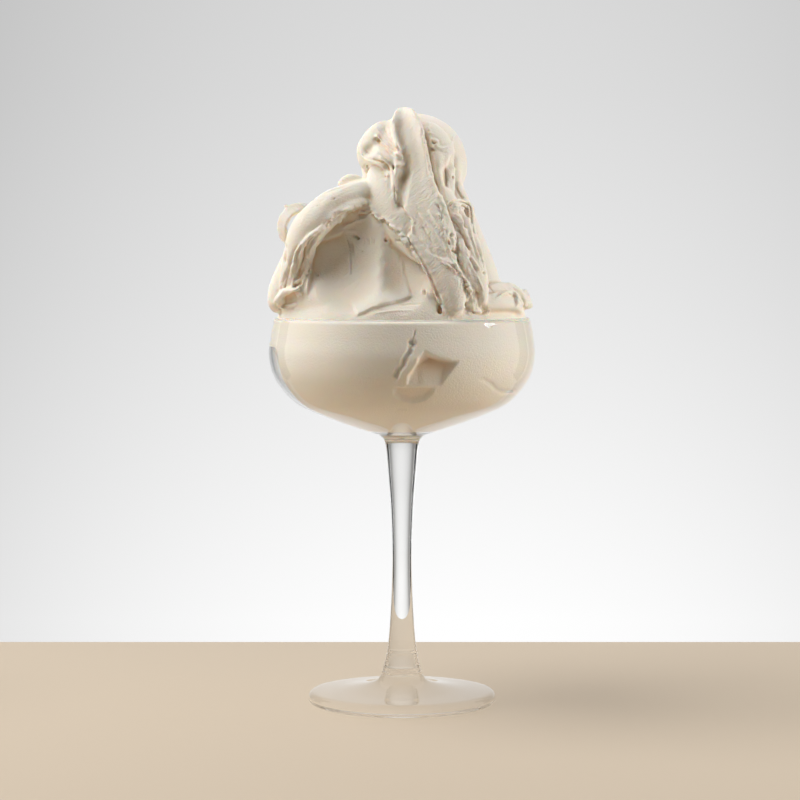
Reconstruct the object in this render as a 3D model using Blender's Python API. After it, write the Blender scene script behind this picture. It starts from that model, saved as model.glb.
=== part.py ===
"""A coupe glass with a tall heap of gelato, as two closed solids.

The glass is one turned piece: foot, stem and bowl. The gelato is one mass: it follows the
inside of the bowl and heaps up over the rim in spatula strokes. Lengths below are in
millimetres, and each finished mesh is scaled to metres. +Z is up, -Y is the front, and the
origin is the middle of the foot's flat underside.
"""

import math

import bmesh
import bpy
import numpy as np
from mathutils import Matrix

# Driving dimensions
GLASS_HEIGHT = 151.5
BOWL_RADIUS = 52.0
BOWL_RADIUS_HEIGHT = 137.5
RIM_RADIUS = 49.9
FOOT_RADIUS = 36.9
FOOT_EDGE = 4.9
WAIST_RADIUS = 3.75
WAIST_HEIGHT = 56.0
COLLAR_HEIGHT = 104.5
WALL = 1.2
INNER_BOTTOM = 108.0
PEAK_HEIGHT = 233.0
GAP = 0.3

# The front view's eye, at which each form lines up with the next
EYE_DISTANCE = 963.0
EYE_HEIGHT = 170.0

# Fineness
GLASS_SIDES = 48
VOXEL = 1.5
GELATO_TRIANGLES = 5400


def seen(x, z, y):
    """The point at depth y that shows at (x, z) of the axis plane from the front."""
    scale = (EYE_DISTANCE + y) / EYE_DISTANCE
    return x * scale, y, EYE_HEIGHT + (z - EYE_HEIGHT) * scale


def smooth_curve(points, count):
    """Evenly numbered points on a Catmull-Rom curve through the given ones."""
    p = np.asarray(points, float)
    p = np.vstack([2 * p[0] - p[1], p, 2 * p[-1] - p[-2]])
    at = np.linspace(0, len(points) - 1, count)
    i = np.minimum(at.astype(int), len(points) - 2)
    t = (at - i)[:, None]
    a, b, c, d = p[i], p[i + 1], p[i + 2], p[i + 3]
    return 0.5 * (2 * b + (c - a) * t + (2 * a - 5 * b + 4 * c - d) * t**2 + (3 * b - a - 3 * c + d) * t**3)


# Outlines of the glass

def bowl_curve(count=12):
    """The outside of the bowl, from the collar up to just under the rim."""
    return smooth_curve([
        (9.6, COLLAR_HEIGHT + 1.2), (17.2, 108.1), (30.5, 112.8), (40.7, 117.5), (46.8, 123.4),
        (50.6, 129.8), (BOWL_RADIUS, BOWL_RADIUS_HEIGHT), (51.2, 144.5), (RIM_RADIUS + 0.3, GLASS_HEIGHT - 1.6),
    ], count)


def outer_outline():
    """Radius and height of the outside, from the middle of the foot up to the rim."""
    edge_radius = FOOT_EDGE / 2
    foot = [(0, 0), (FOOT_RADIUS - edge_radius, 0)]
    edge = [
        (FOOT_RADIUS - edge_radius * (1 - math.cos(a)), edge_radius * (1 + math.sin(a)))
        for a in np.radians([-45, 0, 45, 80])
    ]
    foot_top = smooth_curve([
        (FOOT_RADIUS - 3.5, FOOT_EDGE + 0.1), (22, 6.0), (12.5, 7.8), (8.6, 10.4), (6.4, 17.5),
    ], 7)
    stem = smooth_curve([
        (5.2, 25.5), (4.3, 38), (WAIST_RADIUS, WAIST_HEIGHT), (4.4, 77), (5.5, 91), (6.3, 100.3),
        (7.0, COLLAR_HEIGHT - 1), (8.6, COLLAR_HEIGHT + 0.7),
    ], 10)
    rim = [(RIM_RADIUS - 0.05, GLASS_HEIGHT - 0.4), (RIM_RADIUS - 0.6, GLASS_HEIGHT)]
    return [tuple(p) for p in foot + edge + list(foot_top) + list(stem) + list(bowl_curve()) + rim]


def inner_outline(depth, count=12):
    """The bowl curve moved in by depth, from the rim down to the middle of the bottom."""
    curve = bowl_curve(count)
    along = np.gradient(curve, axis=0)
    along /= np.linalg.norm(along, axis=1)[:, None]
    inside = curve + np.stack([-along[:, 1], along[:, 0]], 1) * depth
    rim = (RIM_RADIUS - depth, GLASS_HEIGHT - 0.4)
    return [rim] + [tuple(p) for p in inside[:0:-1]] + [(0, INNER_BOTTOM - WALL + depth)]


def turned(outline, sides):
    """A closed mesh made by turning an outline that starts and ends on the axis."""
    bm = bmesh.new()
    verts = [bm.verts.new((r, 0, z)) for r, z in outline]
    edges = [bm.edges.new(pair) for pair in zip(verts, verts[1:])]
    bmesh.ops.spin(
        bm, geom=verts + edges, cent=(0, 0, 0), axis=(0, 0, 1), angle=math.tau, steps=sides, use_merge=True
    )
    bmesh.ops.remove_doubles(bm, verts=bm.verts, dist=0.01)
    bmesh.ops.recalc_face_normals(bm, faces=bm.faces)
    return bm


# Forms of the gelato

def ellipsoid(bm, middle, radii):
    place = Matrix.Translation(middle) @ Matrix.Diagonal((*radii, 1))
    bmesh.ops.create_icosphere(bm, subdivisions=4, radius=1, matrix=place)


def sweep(bm, path, widths, depths, face, cup=0.0, blunt=2.6):
    """A closed form along a path: widths across it, depths along face, edges raised by cup."""
    made = bmesh.ops.create_uvsphere(bm, u_segments=24, v_segments=28, radius=1)["verts"]
    steps = 60
    line = smooth_curve(path, steps)
    tangent = np.gradient(line, axis=0)
    tangent /= np.linalg.norm(tangent, axis=1)[:, None]
    facing = np.asarray(face, float)
    facing = facing - tangent * (tangent @ facing)[:, None]
    facing /= np.linalg.norm(facing, axis=1)[:, None]
    side = np.cross(tangent, facing)
    knots = np.linspace(0, steps - 1, len(widths))
    for vert in made:
        x, y, z = vert.co
        ring = math.hypot(x, y)
        round_end = (1 - min(1, abs(z)) ** blunt) ** (1 / blunt)
        if ring > 1e-6:
            x, y = x / ring * round_end, y / ring * round_end
        along = (1 - z) / 2 * (steps - 1)
        i = min(int(along), steps - 2)
        mix = along - i
        width, depth = np.interp(along, knots, widths), np.interp(along, knots, depths)
        middle = line[i] * (1 - mix) + line[i + 1] * mix
        across = side[i] * (1 - mix) + side[i + 1] * mix
        out = facing[i] * (1 - mix) + facing[i + 1] * mix
        vert.co = middle + across * x * width + out * (y * depth + cup * x * x)


def core_forms(bm):
    """The fill, the torso, the head and the left dome."""
    front = (0, -1, 0)
    sweep(bm, [(0, 0, 100), (0, 0, 130), (0, 0, 150)], [53, 54, 50], [53, 54, 50], front, blunt=8)
    ellipsoid(bm, (0, 0, 147), (49, 48, 30))
    sweep(
        bm, [(1, 1, 138), (1.5, 1, 165), (2.5, 0.5, 190), (4, 0.5, 214)],
        [41, 37.5, 27.5, 19], [40, 36, 26, 16], front,
    )
    ellipsoid(bm, (4.8, 1, 211), (20.6, 17, 19.8))
    ellipsoid(bm, (-9.5, -1, 161), (38.5, 40, 45))


def proud_forms(bm):
    """The strokes that lie on the core, each a form of its own."""
    # the smooth band of the hood
    sweep(
        bm,
        [seen(-47, 154, -10), seen(-44, 165, -17), seen(-41, 176, -22), seen(-38.5, 185, -24.5),
         seen(-31.5, 193, -26), seen(-23, 198.5, -26), seen(-11, 201, -22)],
        [5, 6, 6, 6.5, 6.5, 6.5, 5], [5, 6, 6.5, 6.5, 6.5, 6, 5], (-0.4, -1, 0.4),
    )
    # the bulge under the head
    sweep(
        bm,
        [seen(-8.5, 214, -13), seen(-7.6, 203, -20), seen(-4.6, 193.5, -26), seen(0.5, 184, -31.5),
         seen(7, 173, -37)],
        [6.2, 7.0, 7.0, 5.5, 3], [6, 6, 6, 5, 4], (-0.25, -1, 0.25),
    )
    # the long stroke from the peak down to the rim, cupped
    sweep(
        bm,
        [seen(1.2, PEAK_HEIGHT, -3), seen(2.0, 226, -11.5), seen(3.6, 217, -17.5), seen(5.2, 209, -21.5),
         seen(6.6, 199, -26.5), seen(9.4, 189, -32), seen(13.8, 177, -37.5), seen(18.5, 165, -42),
         seen(20.8, 153, -44)],
        [4.4, 5.2, 5.8, 6.6, 8.6, 9.8, 8.8, 7, 6.2], [3.2, 3.5, 4, 4, 4, 4, 4, 4, 4], (-0.1, -1, 0.25),
        cup=2.4, blunt=4,
    )
    # the head's left wing
    sweep(
        bm,
        [seen(-1, 229, -8), seen(-5.5, 223.5, -13), seen(-10, 217, -16.5), seen(-15.5, 209.5, -13.5)],
        [7, 8.5, 8, 5], [4.5, 5, 4.5, 3.5], (-0.55, -1, 0.35),
    )
    # folds on the head's right side
    sweep(
        bm,
        [seen(9, 227, -10), seen(14, 217, -15), seen(14.5, 206, -18.5), seen(18, 196, -22)],
        [5.5, 6.5, 6, 5], [4, 4.5, 4.5, 4], (0.4, -1, 0.1),
    )
    # the torn ridge beside the long stroke, and the smooth flank behind it
    sweep(
        bm,
        [seen(15, 203, -21), seen(19.5, 190, -27), seen(24, 177, -32), seen(27.5, 166, -36),
         seen(29, 153, -37.5)],
        [4.5, 5.5, 6, 6.5, 6.5], [5, 6, 6, 6, 6], (0.35, -1, 0.2),
    )
    sweep(
        bm,
        [seen(20.5, 205, -5), seen(23, 190, -9), seen(28, 174, -14), seen(34.5, 160, -18)],
        [4.5, 6.5, 8.5, 10.5], [4, 5.5, 6.5, 7], (1, -0.7, 0.35),
    )
    # the frill over the right of the rim: three folded edges
    sweep(
        bm, [seen(33, 159, -30), seen(40, 162.3, -19), seen(46, 161.5, -11), seen(49, 156.5, -5)],
        [4, 4.8, 4.6, 3.6], [3.2, 3.2, 3, 2.8], (0.6, -0.6, 0.6), cup=1.6,
    )
    sweep(
        bm, [seen(30, 155, -38), seen(38, 157.5, -29), seen(44.5, 157, -21), seen(48, 154, -14)],
        [3.6, 4.4, 4.2, 3.4], [3.2, 3.2, 3, 2.8], (0.4, -1, 0.5), cup=1.4,
    )
    sweep(
        bm, [(44, -8, 159), (47.5, 2, 158.5), (45.5, 12, 157.5), (40, 22, 155.5)],
        [4.2, 5, 4.6, 3.4], [3, 3.2, 3, 2.6], (1, 0.1, 0.6), cup=1.4,
    )
    # the flake behind the hood, the curl at the rim and the small curl on the hood
    sweep(
        bm,
        [seen(-44.5, 176, 2), seen(-46.3, 186, 2), seen(-42, 192.5, 4), seen(-35, 194.5, 6)],
        [2.6, 3.6, 4, 3], [1.8, 1.8, 2, 2], (-0.7, -1, 0.2),
    )
    sweep(
        bm,
        [seen(-51.3, 153.5, -6), seen(-50.3, 158.5, -11), seen(-46, 161.5, -18), seen(-39, 161.5, -26)],
        [3.6, 4.2, 4.2, 3.6], [2.6, 3, 3, 2.6], (-0.5, -1, 0.5),
    )
    sweep(
        bm, [seen(-25, 203.5, -6), seen(-20.5, 205.8, -7), seen(-15.5, 205.5, -8)],
        [2.2, 2.6, 2.2], [2, 2.4, 2], (0, -1, 0),
    )
    # broad strokes behind, drawn up to the peak and across
    sweep(
        bm,
        [(-24, 27, 158), (-15, 30, 176), (-4, 26, 194), (3, 17, 212), (4, 5, 228)],
        [12, 14, 13, 12, 7], [6, 7, 7, 6, 4], (-0.15, 1, 0.3), cup=3,
    )
    sweep(
        bm,
        [(30, 25, 156), (24, 28, 172), (19, 22, 190), (16, 14, 206), (13, 6, 220)],
        [9, 10, 9, 8, 5], [6, 6, 6, 5, 4], (0.55, 1, 0.25), cup=2,
    )
    sweep(
        bm, [(-44, 12, 158), (-33, 24, 168), (-14, 33, 172), (8, 36, 162)],
        [7, 9, 9, 6], [5, 6, 6, 4], (-0.3, 1, 0.5), cup=2,
    )


def press(bm, middle, radii):
    """Pushes what lies inside an ellipsoid back, along +Y, to its far side."""
    for vert in bm.verts:
        x, y, z = ((vert.co[i] - middle[i]) / radii[i] for i in range(3))
        behind = math.sqrt(max(0, 1 - x * x - z * z))
        if x * x + y * y + z * z < 1:
            vert.co.y = middle[1] + behind * radii[1]


def near_path(u, v, path):
    """Signed distance from a path, positive on its left, and the place along it from 0 to 1."""
    line = smooth_curve(path, 6 * len(path))
    start, step = line[:-1], np.diff(line, axis=0)
    best = np.full(len(u), np.inf)
    signed = np.zeros(len(u))
    along = np.zeros(len(u))
    for i, (origin, move) in enumerate(zip(start, step)):
        du, dv = u - origin[0], v - origin[1]
        t = np.clip((du * move[0] + dv * move[1]) / (move @ move), 0, 1)
        off = np.hypot(du - t * move[0], dv - t * move[1])
        closer = off < best
        best[closer] = off[closer]
        signed[closer] = (np.sign(move[0] * dv - move[1] * du) * off)[closer]
        along[closer] = ((i + t) / len(step))[closer]
    return signed, along


def stroke_heights(u, v, path, width, height, kind):
    """How far a stroke lifts or sinks each point of the surface."""
    signed, along = near_path(u, v, path)
    taper = np.clip(np.minimum(along, 1 - along) / 0.18, 0, 1)
    taper = taper * taper * (3 - 2 * taper)
    across = signed / width
    if kind == "ridge":
        shape = np.clip(1 - across**2, 0, 1) ** 2
    else:
        # a lip stands up on the left of its path and is cut down on the right
        shape = 3.5 * across * np.clip(1 - across**2, 0, 1) ** 2
    return shape * height * taper


# Strokes seen from the front: path in the axis plane, width, height, kind; a groove has a negative height
FRONT_STROKES = [
    # inner edge of the hood, over the concave face, and the grooves of its band
    ([(-40.5, 160), (-37.5, 167), (-36, 175), (-33.5, 184), (-30, 189.5), (-25.5, 192), (-12.5, 196.3)],
     5.5, 2.2, "lip"),
    ([(-43, 163), (-40.5, 174), (-38, 184), (-31, 193.5), (-16, 200)], 2.4, -1.2, "ridge"),
    ([(-45.5, 163), (-43.2, 174), (-41, 184)], 2.2, -1.2, "ridge"),
    # spike in the concave face, its lower lip and its right edge
    ([(-22, 184.5), (-21, 176), (-20, 166)], 2.0, 1.4, "ridge"),
    ([(1, 158.5), (-5, 157.3), (-10, 155), (-18, 152)], 4, 1.6, "lip"),
    ([(-5, 182), (0, 173), (3.5, 163), (4, 159)], 3.5, 1.2, "ridge"),
    # ragged edge over the second scoop
    ([(6, 175), (-0.5, 183.5), (-7, 188.5), (-12, 195)], 3.4, 1.4, "lip"),
    # lower left edge of the long stroke, and its right edge
    ([(15.5, 154), (14.5, 161), (9, 173), (2.5, 183.5), (-1.5, 195), (-2.5, 203)], 4.5, 1.8, "lip"),
    ([(5.5, 230), (9.5, 217), (11, 205), (16, 196), (20.5, 178), (25, 164)], 2.4, 1.2, "ridge"),
    # the wing's lip and folds
    ([(-3, 196), (-3.5, 205), (-9, 211), (-15.5, 214.5)], 4, 2.2, "lip"),
    ([(1, 212), (-5, 219), (-11, 224.5)], 1.8, -1.4, "ridge"),
    ([(0.5, 214), (-2, 222), (-5, 228)], 1.6, -1.2, "ridge"),
    # folds of the head's right side
    ([(12, 226), (13.5, 219), (19, 217), (22, 213)], 2, -1.4, "ridge"),
    ([(20, 213), (17.5, 205), (18.5, 198)], 2.6, -2.0, "ridge"),
    ([(14, 211), (12.5, 203), (14, 195)], 2.2, -1.6, "ridge"),
    # torn ridges right of the long stroke
    ([(12, 205), (17, 193), (21, 183), (27, 170)], 2.2, -1.6, "ridge"),
    ([(21.5, 193), (24.5, 184), (27.5, 175), (31.5, 168)], 2.0, -2.0, "ridge"),
    ([(18, 190), (23, 178), (27, 168), (29, 157)], 1.8, 1.4, "ridge"),
    ([(33, 166), (37, 160), (42, 156)], 2.4, -1.4, "ridge"),
]

# Strokes round the back and sides: path as angle from +X in degrees and height, width, height, kind
ROUND_STROKES = [
    # grooves along the broad stroke that rises to the peak, then along the one on its right
    ([(122, 160), (107, 178), (90, 196), (72, 214)], 2.6, -1.4, "ridge"),
    ([(138, 160), (126, 174), (112, 190)], 2.6, -1.4, "ridge"),
    ([(46, 160), (56, 174), (56, 190), (48, 204)], 2.4, -1.4, "ridge"),
    ([(30, 160), (36, 174), (36, 192), (28, 208)], 2.4, -1.4, "ridge"),
    # a low fold between them, and strokes on both flanks
    ([(64, 156), (77, 168), (88, 178)], 4, 1.8, "lip"),
    ([(0, 160), (8, 176), (16, 194)], 4, -1.6, "ridge"),
    ([(-14, 160), (-6, 176), (4, 196)], 3, -1.2, "ridge"),
    ([(150, 158), (165, 168), (182, 172)], 3, -1.4, "ridge"),
    ([(160, 186), (178, 194), (195, 196)], 3.4, 1.6, "lip"),
]
# the heap's usual radius, which turns an angle into a length
ROUND_REACH = 34.0


def sculpt(points, normals):
    """Draws the strokes over the heap."""
    over_rim = points[:, 2] > GLASS_HEIGHT - 2
    front = (normals[:, 1] < 0.1) & (points[:, 1] < 2) & over_rim
    scale = EYE_DISTANCE / (EYE_DISTANCE + points[:, 1])
    u = points[:, 0] * scale
    v = EYE_HEIGHT + (points[:, 2] - EYE_HEIGHT) * scale
    lift = np.zeros(len(points))
    for path, width, height, kind in FRONT_STROKES:
        lift[front] += stroke_heights(u[front], v[front], path, width, height, kind)
    behind = over_rim & ~front
    angle = np.arctan2(points[:, 1], points[:, 0])
    angle[angle < -math.pi / 2] += math.tau
    for path, width, height, kind in ROUND_STROKES:
        flat = [(math.radians(a) * ROUND_REACH, z) for a, z in path]
        lift[behind] += stroke_heights(
            angle[behind] * ROUND_REACH, points[behind, 2], flat, width, height, kind
        )
    points += normals * lift[:, None]


def gelato_forms():
    bm = bmesh.new()
    core_forms(bm)
    # the concave face under the hood, and the smaller scoop on its right
    press(bm, (-15, -91, 203), (56, 68, 69))
    press(bm, (10, -84, 196), (40, 56, 58))
    proud_forms(bm)
    return bm


# Objects

def material(name, colour, roughness, transmission=0.0, subsurface=0.0):
    made = bpy.data.materials.new(name)
    made.use_nodes = True
    shader = made.node_tree.nodes["Principled BSDF"]
    shader.inputs["Base Color"].default_value = (*colour, 1)
    shader.inputs["Roughness"].default_value = roughness
    shader.inputs["Metallic"].default_value = 0.0
    shader.inputs["Transmission Weight"].default_value = transmission
    shader.inputs["Subsurface Weight"].default_value = subsurface
    return made


def add_object(name, bm, sharp_degrees=None):
    """A new object from a mesh in millimetres, scaled to metres."""
    bmesh.ops.scale(bm, vec=(0.001, 0.001, 0.001), verts=bm.verts)
    mesh = bpy.data.meshes.new(name)
    bm.to_mesh(mesh)
    bm.free()
    mesh.shade_smooth()
    if sharp_degrees:
        mesh.set_sharp_from_angle(angle=math.radians(sharp_degrees))
    made = bpy.data.objects.new(name, mesh)
    bpy.context.scene.collection.objects.link(made)
    return made


def bake_modifiers(piece):
    """Replaces an object's mesh by the one its modifiers give."""
    bpy.context.view_layer.update()
    depsgraph = bpy.context.evaluated_depsgraph_get()
    mesh = bpy.data.meshes.new_from_object(piece.evaluated_get(depsgraph))
    piece.modifiers.clear()
    piece.data = mesh


def make_glass():
    glass = add_object("glass", turned(outer_outline() + inner_outline(WALL), GLASS_SIDES), sharp_degrees=40)
    glass.data.materials.append(material("clear_glass", (0.96, 0.97, 0.96), 0.02, transmission=1.0))
    return glass


def read_mesh(mesh):
    """Points in millimetres and their normals."""
    points = np.empty(len(mesh.vertices) * 3, np.float32)
    mesh.vertices.foreach_get("co", points)
    normals = np.empty(len(mesh.vertices) * 3, np.float32)
    mesh.vertices.foreach_get("normal", normals)
    return points.reshape(-1, 3).astype(float) * 1000, normals.reshape(-1, 3).astype(float)


def write_mesh(mesh, points):
    mesh.vertices.foreach_set("co", (points / 1000).astype(np.float32).ravel())
    mesh.update()


def room_in_glass():
    """The space that the gelato may fill: the inside of the bowl, and all above the rim."""
    over_rim = GLASS_HEIGHT + GAP
    top = PEAK_HEIGHT + 12
    reach = BOWL_RADIUS + 10
    wall = inner_outline(WALL + GAP)
    outline = [(0, top), (reach, top), (reach, over_rim), (wall[0][0], over_rim)] + wall
    return turned(outline, GLASS_SIDES)


def pocket_form():
    """The leaf-shaped air pocket against the front wall of the bowl."""
    bm = bmesh.new()
    sweep(
        bm,
        [(-6, -42.5, 119), (3, -46, 123.5), (12, -49, 130), (22.5, -47, 135.5)],
        [3, 7.5, 7.5, 2.5], [5, 6.5, 6.5, 4], (0.15, -1, -0.25), blunt=2.2,
    )
    return bm


def cut(piece, cutter, operation):
    """Applies a Boolean and removes its cutter."""
    boolean = piece.modifiers.new("Cut", "BOOLEAN")
    boolean.operation = operation
    boolean.object = cutter
    boolean.solver = "EXACT"
    bake_modifiers(piece)
    bpy.data.objects.remove(cutter, do_unlink=True)


def make_gelato():
    gelato = add_object("gelato", gelato_forms())
    remesh = gelato.modifiers.new("Remesh", "REMESH")
    remesh.mode = "VOXEL"
    remesh.voxel_size = VOXEL / 1000
    smooth = gelato.modifiers.new("Smooth", "SMOOTH")
    smooth.iterations = 3
    bake_modifiers(gelato)
    points, normals = read_mesh(gelato.data)
    sculpt(points, normals)
    write_mesh(gelato.data, points)
    smooth = gelato.modifiers.new("Smooth", "SMOOTH")
    smooth.iterations = 2
    thin = gelato.modifiers.new("Decimate", "DECIMATE")
    thin.ratio = GELATO_TRIANGLES / (2 * len(gelato.data.polygons))
    bake_modifiers(gelato)
    cut(gelato, add_object("room", room_in_glass()), "INTERSECT")
    cut(gelato, add_object("pocket", pocket_form()), "DIFFERENCE")
    gelato.data.materials.clear()
    gelato.data.materials.append(material("gelato_cream", (0.86, 0.80, 0.69), 0.55, subsurface=0.1))
    return gelato


def main():
    for old in list(bpy.data.objects):
        bpy.data.objects.remove(old, do_unlink=True)
    make_glass()
    make_gelato()


if __name__ == "__main__":
    main()
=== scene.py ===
import math
import random

import bmesh
import bpy
import numpy as np
from mathutils import Matrix, Vector
from mathutils.bvhtree import BVHTree


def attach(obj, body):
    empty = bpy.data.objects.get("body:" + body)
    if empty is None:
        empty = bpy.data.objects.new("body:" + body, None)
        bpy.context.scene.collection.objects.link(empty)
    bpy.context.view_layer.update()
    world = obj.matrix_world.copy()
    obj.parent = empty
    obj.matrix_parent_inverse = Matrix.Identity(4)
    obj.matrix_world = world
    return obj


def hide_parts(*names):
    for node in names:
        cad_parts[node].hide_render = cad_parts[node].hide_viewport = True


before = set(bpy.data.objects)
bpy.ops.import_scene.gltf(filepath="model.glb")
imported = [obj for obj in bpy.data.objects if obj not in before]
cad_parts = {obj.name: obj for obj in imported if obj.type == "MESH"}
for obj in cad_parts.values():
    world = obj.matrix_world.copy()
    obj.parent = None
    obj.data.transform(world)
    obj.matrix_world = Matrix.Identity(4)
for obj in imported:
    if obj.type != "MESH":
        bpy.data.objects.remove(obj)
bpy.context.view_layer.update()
print("frame loaded")

scene = bpy.context.scene

# The eye from which the forms were read, in millimetres
eye = {"distance": 963.0, "height": 170.0}


def seen(x, z, y):
    # the point at depth y that shows at (x, z) of the axis plane from the front
    scale = (eye["distance"] + y) / eye["distance"]
    return x * scale, y, eye["height"] + (z - eye["height"]) * scale


def placed(x, y, z):
    # a point that is given where it lies
    return x, y, z


def smoothCurve(points, count):
    # evenly numbered points on a Catmull-Rom curve
    p = np.asarray(points, float)
    p = np.vstack([2 * p[0] - p[1], p, 2 * p[-1] - p[-2]])
    at = np.linspace(0, len(points) - 1, count)
    i = np.minimum(at.astype(int), len(points) - 2)
    t = (at - i)[:, None]
    a, b, c, d = p[i], p[i + 1], p[i + 2], p[i + 3]
    return 0.5 * (2 * b + (c - a) * t + (2 * a - 5 * b + 4 * c - d) * t**2 + (3 * b - a - 3 * c + d) * t**3)


def objectFrom(name, bm):
    # a mesh in millimetres becomes an object in metres, at the origin
    bmesh.ops.scale(bm, vec=(0.001, 0.001, 0.001), verts=bm.verts)
    mesh = bpy.data.meshes.new(name)
    bm.to_mesh(mesh)
    bm.free()
    mesh.shade_smooth()
    piece = bpy.data.objects.new(name, mesh)
    scene.collection.objects.link(piece)
    return piece


def applyModifiers(piece):
    bpy.context.view_layer.update()
    depsgraph = bpy.context.evaluated_depsgraph_get()
    mesh = bpy.data.meshes.new_from_object(piece.evaluated_get(depsgraph))
    piece.modifiers.clear()
    old = piece.data
    piece.data = mesh
    bpy.data.meshes.remove(old)


def remesh(piece, voxel, smooth):
    modifier = piece.modifiers.new("Remesh", "REMESH")
    modifier.mode = "VOXEL"
    modifier.voxel_size = voxel / 1000
    if smooth:
        modifier = piece.modifiers.new("Smooth", "SMOOTH")
        modifier.iterations = smooth
    applyModifiers(piece)


def readPoints(mesh):
    points = np.empty(len(mesh.vertices) * 3, np.float32)
    mesh.vertices.foreach_get("co", points)
    normals = np.empty(len(mesh.vertices) * 3, np.float32)
    mesh.vertices.foreach_get("normal", normals)
    return points.reshape(-1, 3).astype(float) * 1000, normals.reshape(-1, 3).astype(float)


def writePoints(mesh, points):
    mesh.vertices.foreach_set("co", (points / 1000).astype(np.float32).ravel())
    mesh.update()


# Outlines of the glass, in millimetres
glassSize = {
    "height": 151.5,
    "bowlRadius": 52.0,
    "bowlRadiusHeight": 137.5,
    "rimRadius": 49.9,
    "footRadius": 36.9,
    "footEdge": 4.9,
    "waistRadius": 3.75,
    "waistHeight": 56.0,
    "collarHeight": 104.5,
    "wall": 1.2,
    "innerBottom": 108.0,
    "seams": [(11.6, 0.3), (19.4, 0.25)],      # height and depth of the fine seams round the stem's foot
    "sides": 160,
}


def bowlCurve(count=40):
    g = glassSize
    return smoothCurve([
        (9.6, g["collarHeight"] + 1.2), (17.2, 108.1), (30.5, 112.8), (40.7, 117.5), (46.8, 123.4),
        (50.6, 129.8), (g["bowlRadius"], g["bowlRadiusHeight"]), (51.2, 144.5),
        (g["rimRadius"] + 0.3, g["height"] - 1.6),
    ], count)


def withSeam(points, height, depth):
    # lets a fine seam into an outline that rises from point to point
    below = [p for p in points if p[1] < height - 0.35]
    above = [p for p in points if p[1] > height + 0.35]
    share = (height - below[-1][1]) / (above[0][1] - below[-1][1])
    radius = below[-1][0] + (above[0][0] - below[-1][0]) * share
    seam = [(radius + 0.05, height - 0.3), (radius - depth, height), (radius - 0.05, height + 0.3)]
    return below + seam + above


def outerOutline():
    g = glassSize
    edge = g["footEdge"] / 2
    foot = [(0, 0), (g["footRadius"] - edge - 3, 0), (g["footRadius"] - edge, 0)]
    rounded = [
        (g["footRadius"] - edge * (1 - math.cos(a)), edge * (1 + math.sin(a)))
        for a in np.radians(np.linspace(-75, 80, 11))
    ]
    footTop = smoothCurve([
        (g["footRadius"] - 3.5, g["footEdge"] + 0.1), (22, 6.0), (12.5, 7.8), (8.6, 10.4), (6.4, 17.5),
    ], 26)
    stem = smoothCurve([
        (6.1, 19.2), (5.2, 25.5), (4.3, 38), (g["waistRadius"], g["waistHeight"]), (4.4, 77), (5.5, 91),
        (6.3, 100.3), (7.0, g["collarHeight"] - 1), (8.6, g["collarHeight"] + 0.7),
    ], 48)
    rim = [
        (g["rimRadius"] - 0.5 + 0.55 * math.cos(a), g["height"] - 0.6 + 0.6 * math.sin(a))
        for a in np.radians(np.linspace(10, 90, 6))
    ]
    rising = [tuple(p) for p in list(footTop) + list(stem)]
    for height, depth in g["seams"]:
        rising = withSeam(rising, height, depth)
    return foot + rounded + rising + [tuple(p) for p in bowlCurve()] + rim


def innerOutline(depth, count=40):
    g = glassSize
    curve = bowlCurve(count)
    along = np.gradient(curve, axis=0)
    along /= np.linalg.norm(along, axis=1)[:, None]
    inside = curve + np.stack([-along[:, 1], along[:, 0]], 1) * depth
    rim = (g["rimRadius"] - depth, g["height"] - 0.5)
    return [rim] + [tuple(p) for p in inside[:0:-1]] + [(0, g["innerBottom"] - g["wall"] + depth)]


def turned(outline, sides):
    bm = bmesh.new()
    verts = [bm.verts.new((r, 0, z)) for r, z in outline]
    edges = [bm.edges.new(pair) for pair in zip(verts, verts[1:])]
    bmesh.ops.spin(
        bm, geom=verts + edges, cent=(0, 0, 0), axis=(0, 0, 1), angle=math.tau, steps=sides, use_merge=True
    )
    bmesh.ops.remove_doubles(bm, verts=bm.verts, dist=0.01)
    bmesh.ops.recalc_face_normals(bm, faces=bm.faces)
    return bm


# Closed forms that the heap is joined from

def ellipsoid(bm, middle, radii):
    place = Matrix.Translation(middle) @ Matrix.Diagonal((*radii, 1))
    bmesh.ops.create_icosphere(bm, subdivisions=5, radius=1, matrix=place)


def sweep(bm, path, widths, depths, face, cup=0.0, blunt=2.6):
    # a sphere spread along a path: widths across it, depths along face, edges raised by cup
    cups = np.broadcast_to(cup, len(widths))
    made = bmesh.ops.create_uvsphere(bm, u_segments=40, v_segments=56, radius=1)["verts"]
    steps = 80
    line = smoothCurve(path, steps)
    tangent = np.gradient(line, axis=0)
    tangent /= np.linalg.norm(tangent, axis=1)[:, None]
    facing = np.asarray(face, float)
    facing = facing - tangent * (tangent @ facing)[:, None]
    facing /= np.linalg.norm(facing, axis=1)[:, None]
    side = np.cross(tangent, facing)
    knots = np.linspace(0, steps - 1, len(widths))
    for vert in made:
        x, y, z = vert.co
        ring = math.hypot(x, y)
        roundEnd = (1 - min(1, abs(z)) ** blunt) ** (1 / blunt)
        if ring > 1e-6:
            x, y = x / ring * roundEnd, y / ring * roundEnd
        along = (1 - z) / 2 * (steps - 1)
        i = min(int(along), steps - 2)
        mix = along - i
        width, depth, raised = (np.interp(along, knots, values) for values in (widths, depths, cups))
        middle = line[i] * (1 - mix) + line[i + 1] * mix
        across = side[i] * (1 - mix) + side[i + 1] * mix
        out = facing[i] * (1 - mix) + facing[i + 1] * mix
        vert.co = middle + across * x * width + out * (y * depth + raised * x * x)


def press(bm, middle, radii):
    # pushes what lies inside an ellipsoid back, along +Y, to its far side
    for vert in bm.verts:
        x, y, z = ((vert.co[i] - middle[i]) / radii[i] for i in range(3))
        if x * x + y * y + z * z < 1:
            vert.co.y = middle[1] + math.sqrt(1 - x * x - z * z) * radii[1]


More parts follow.
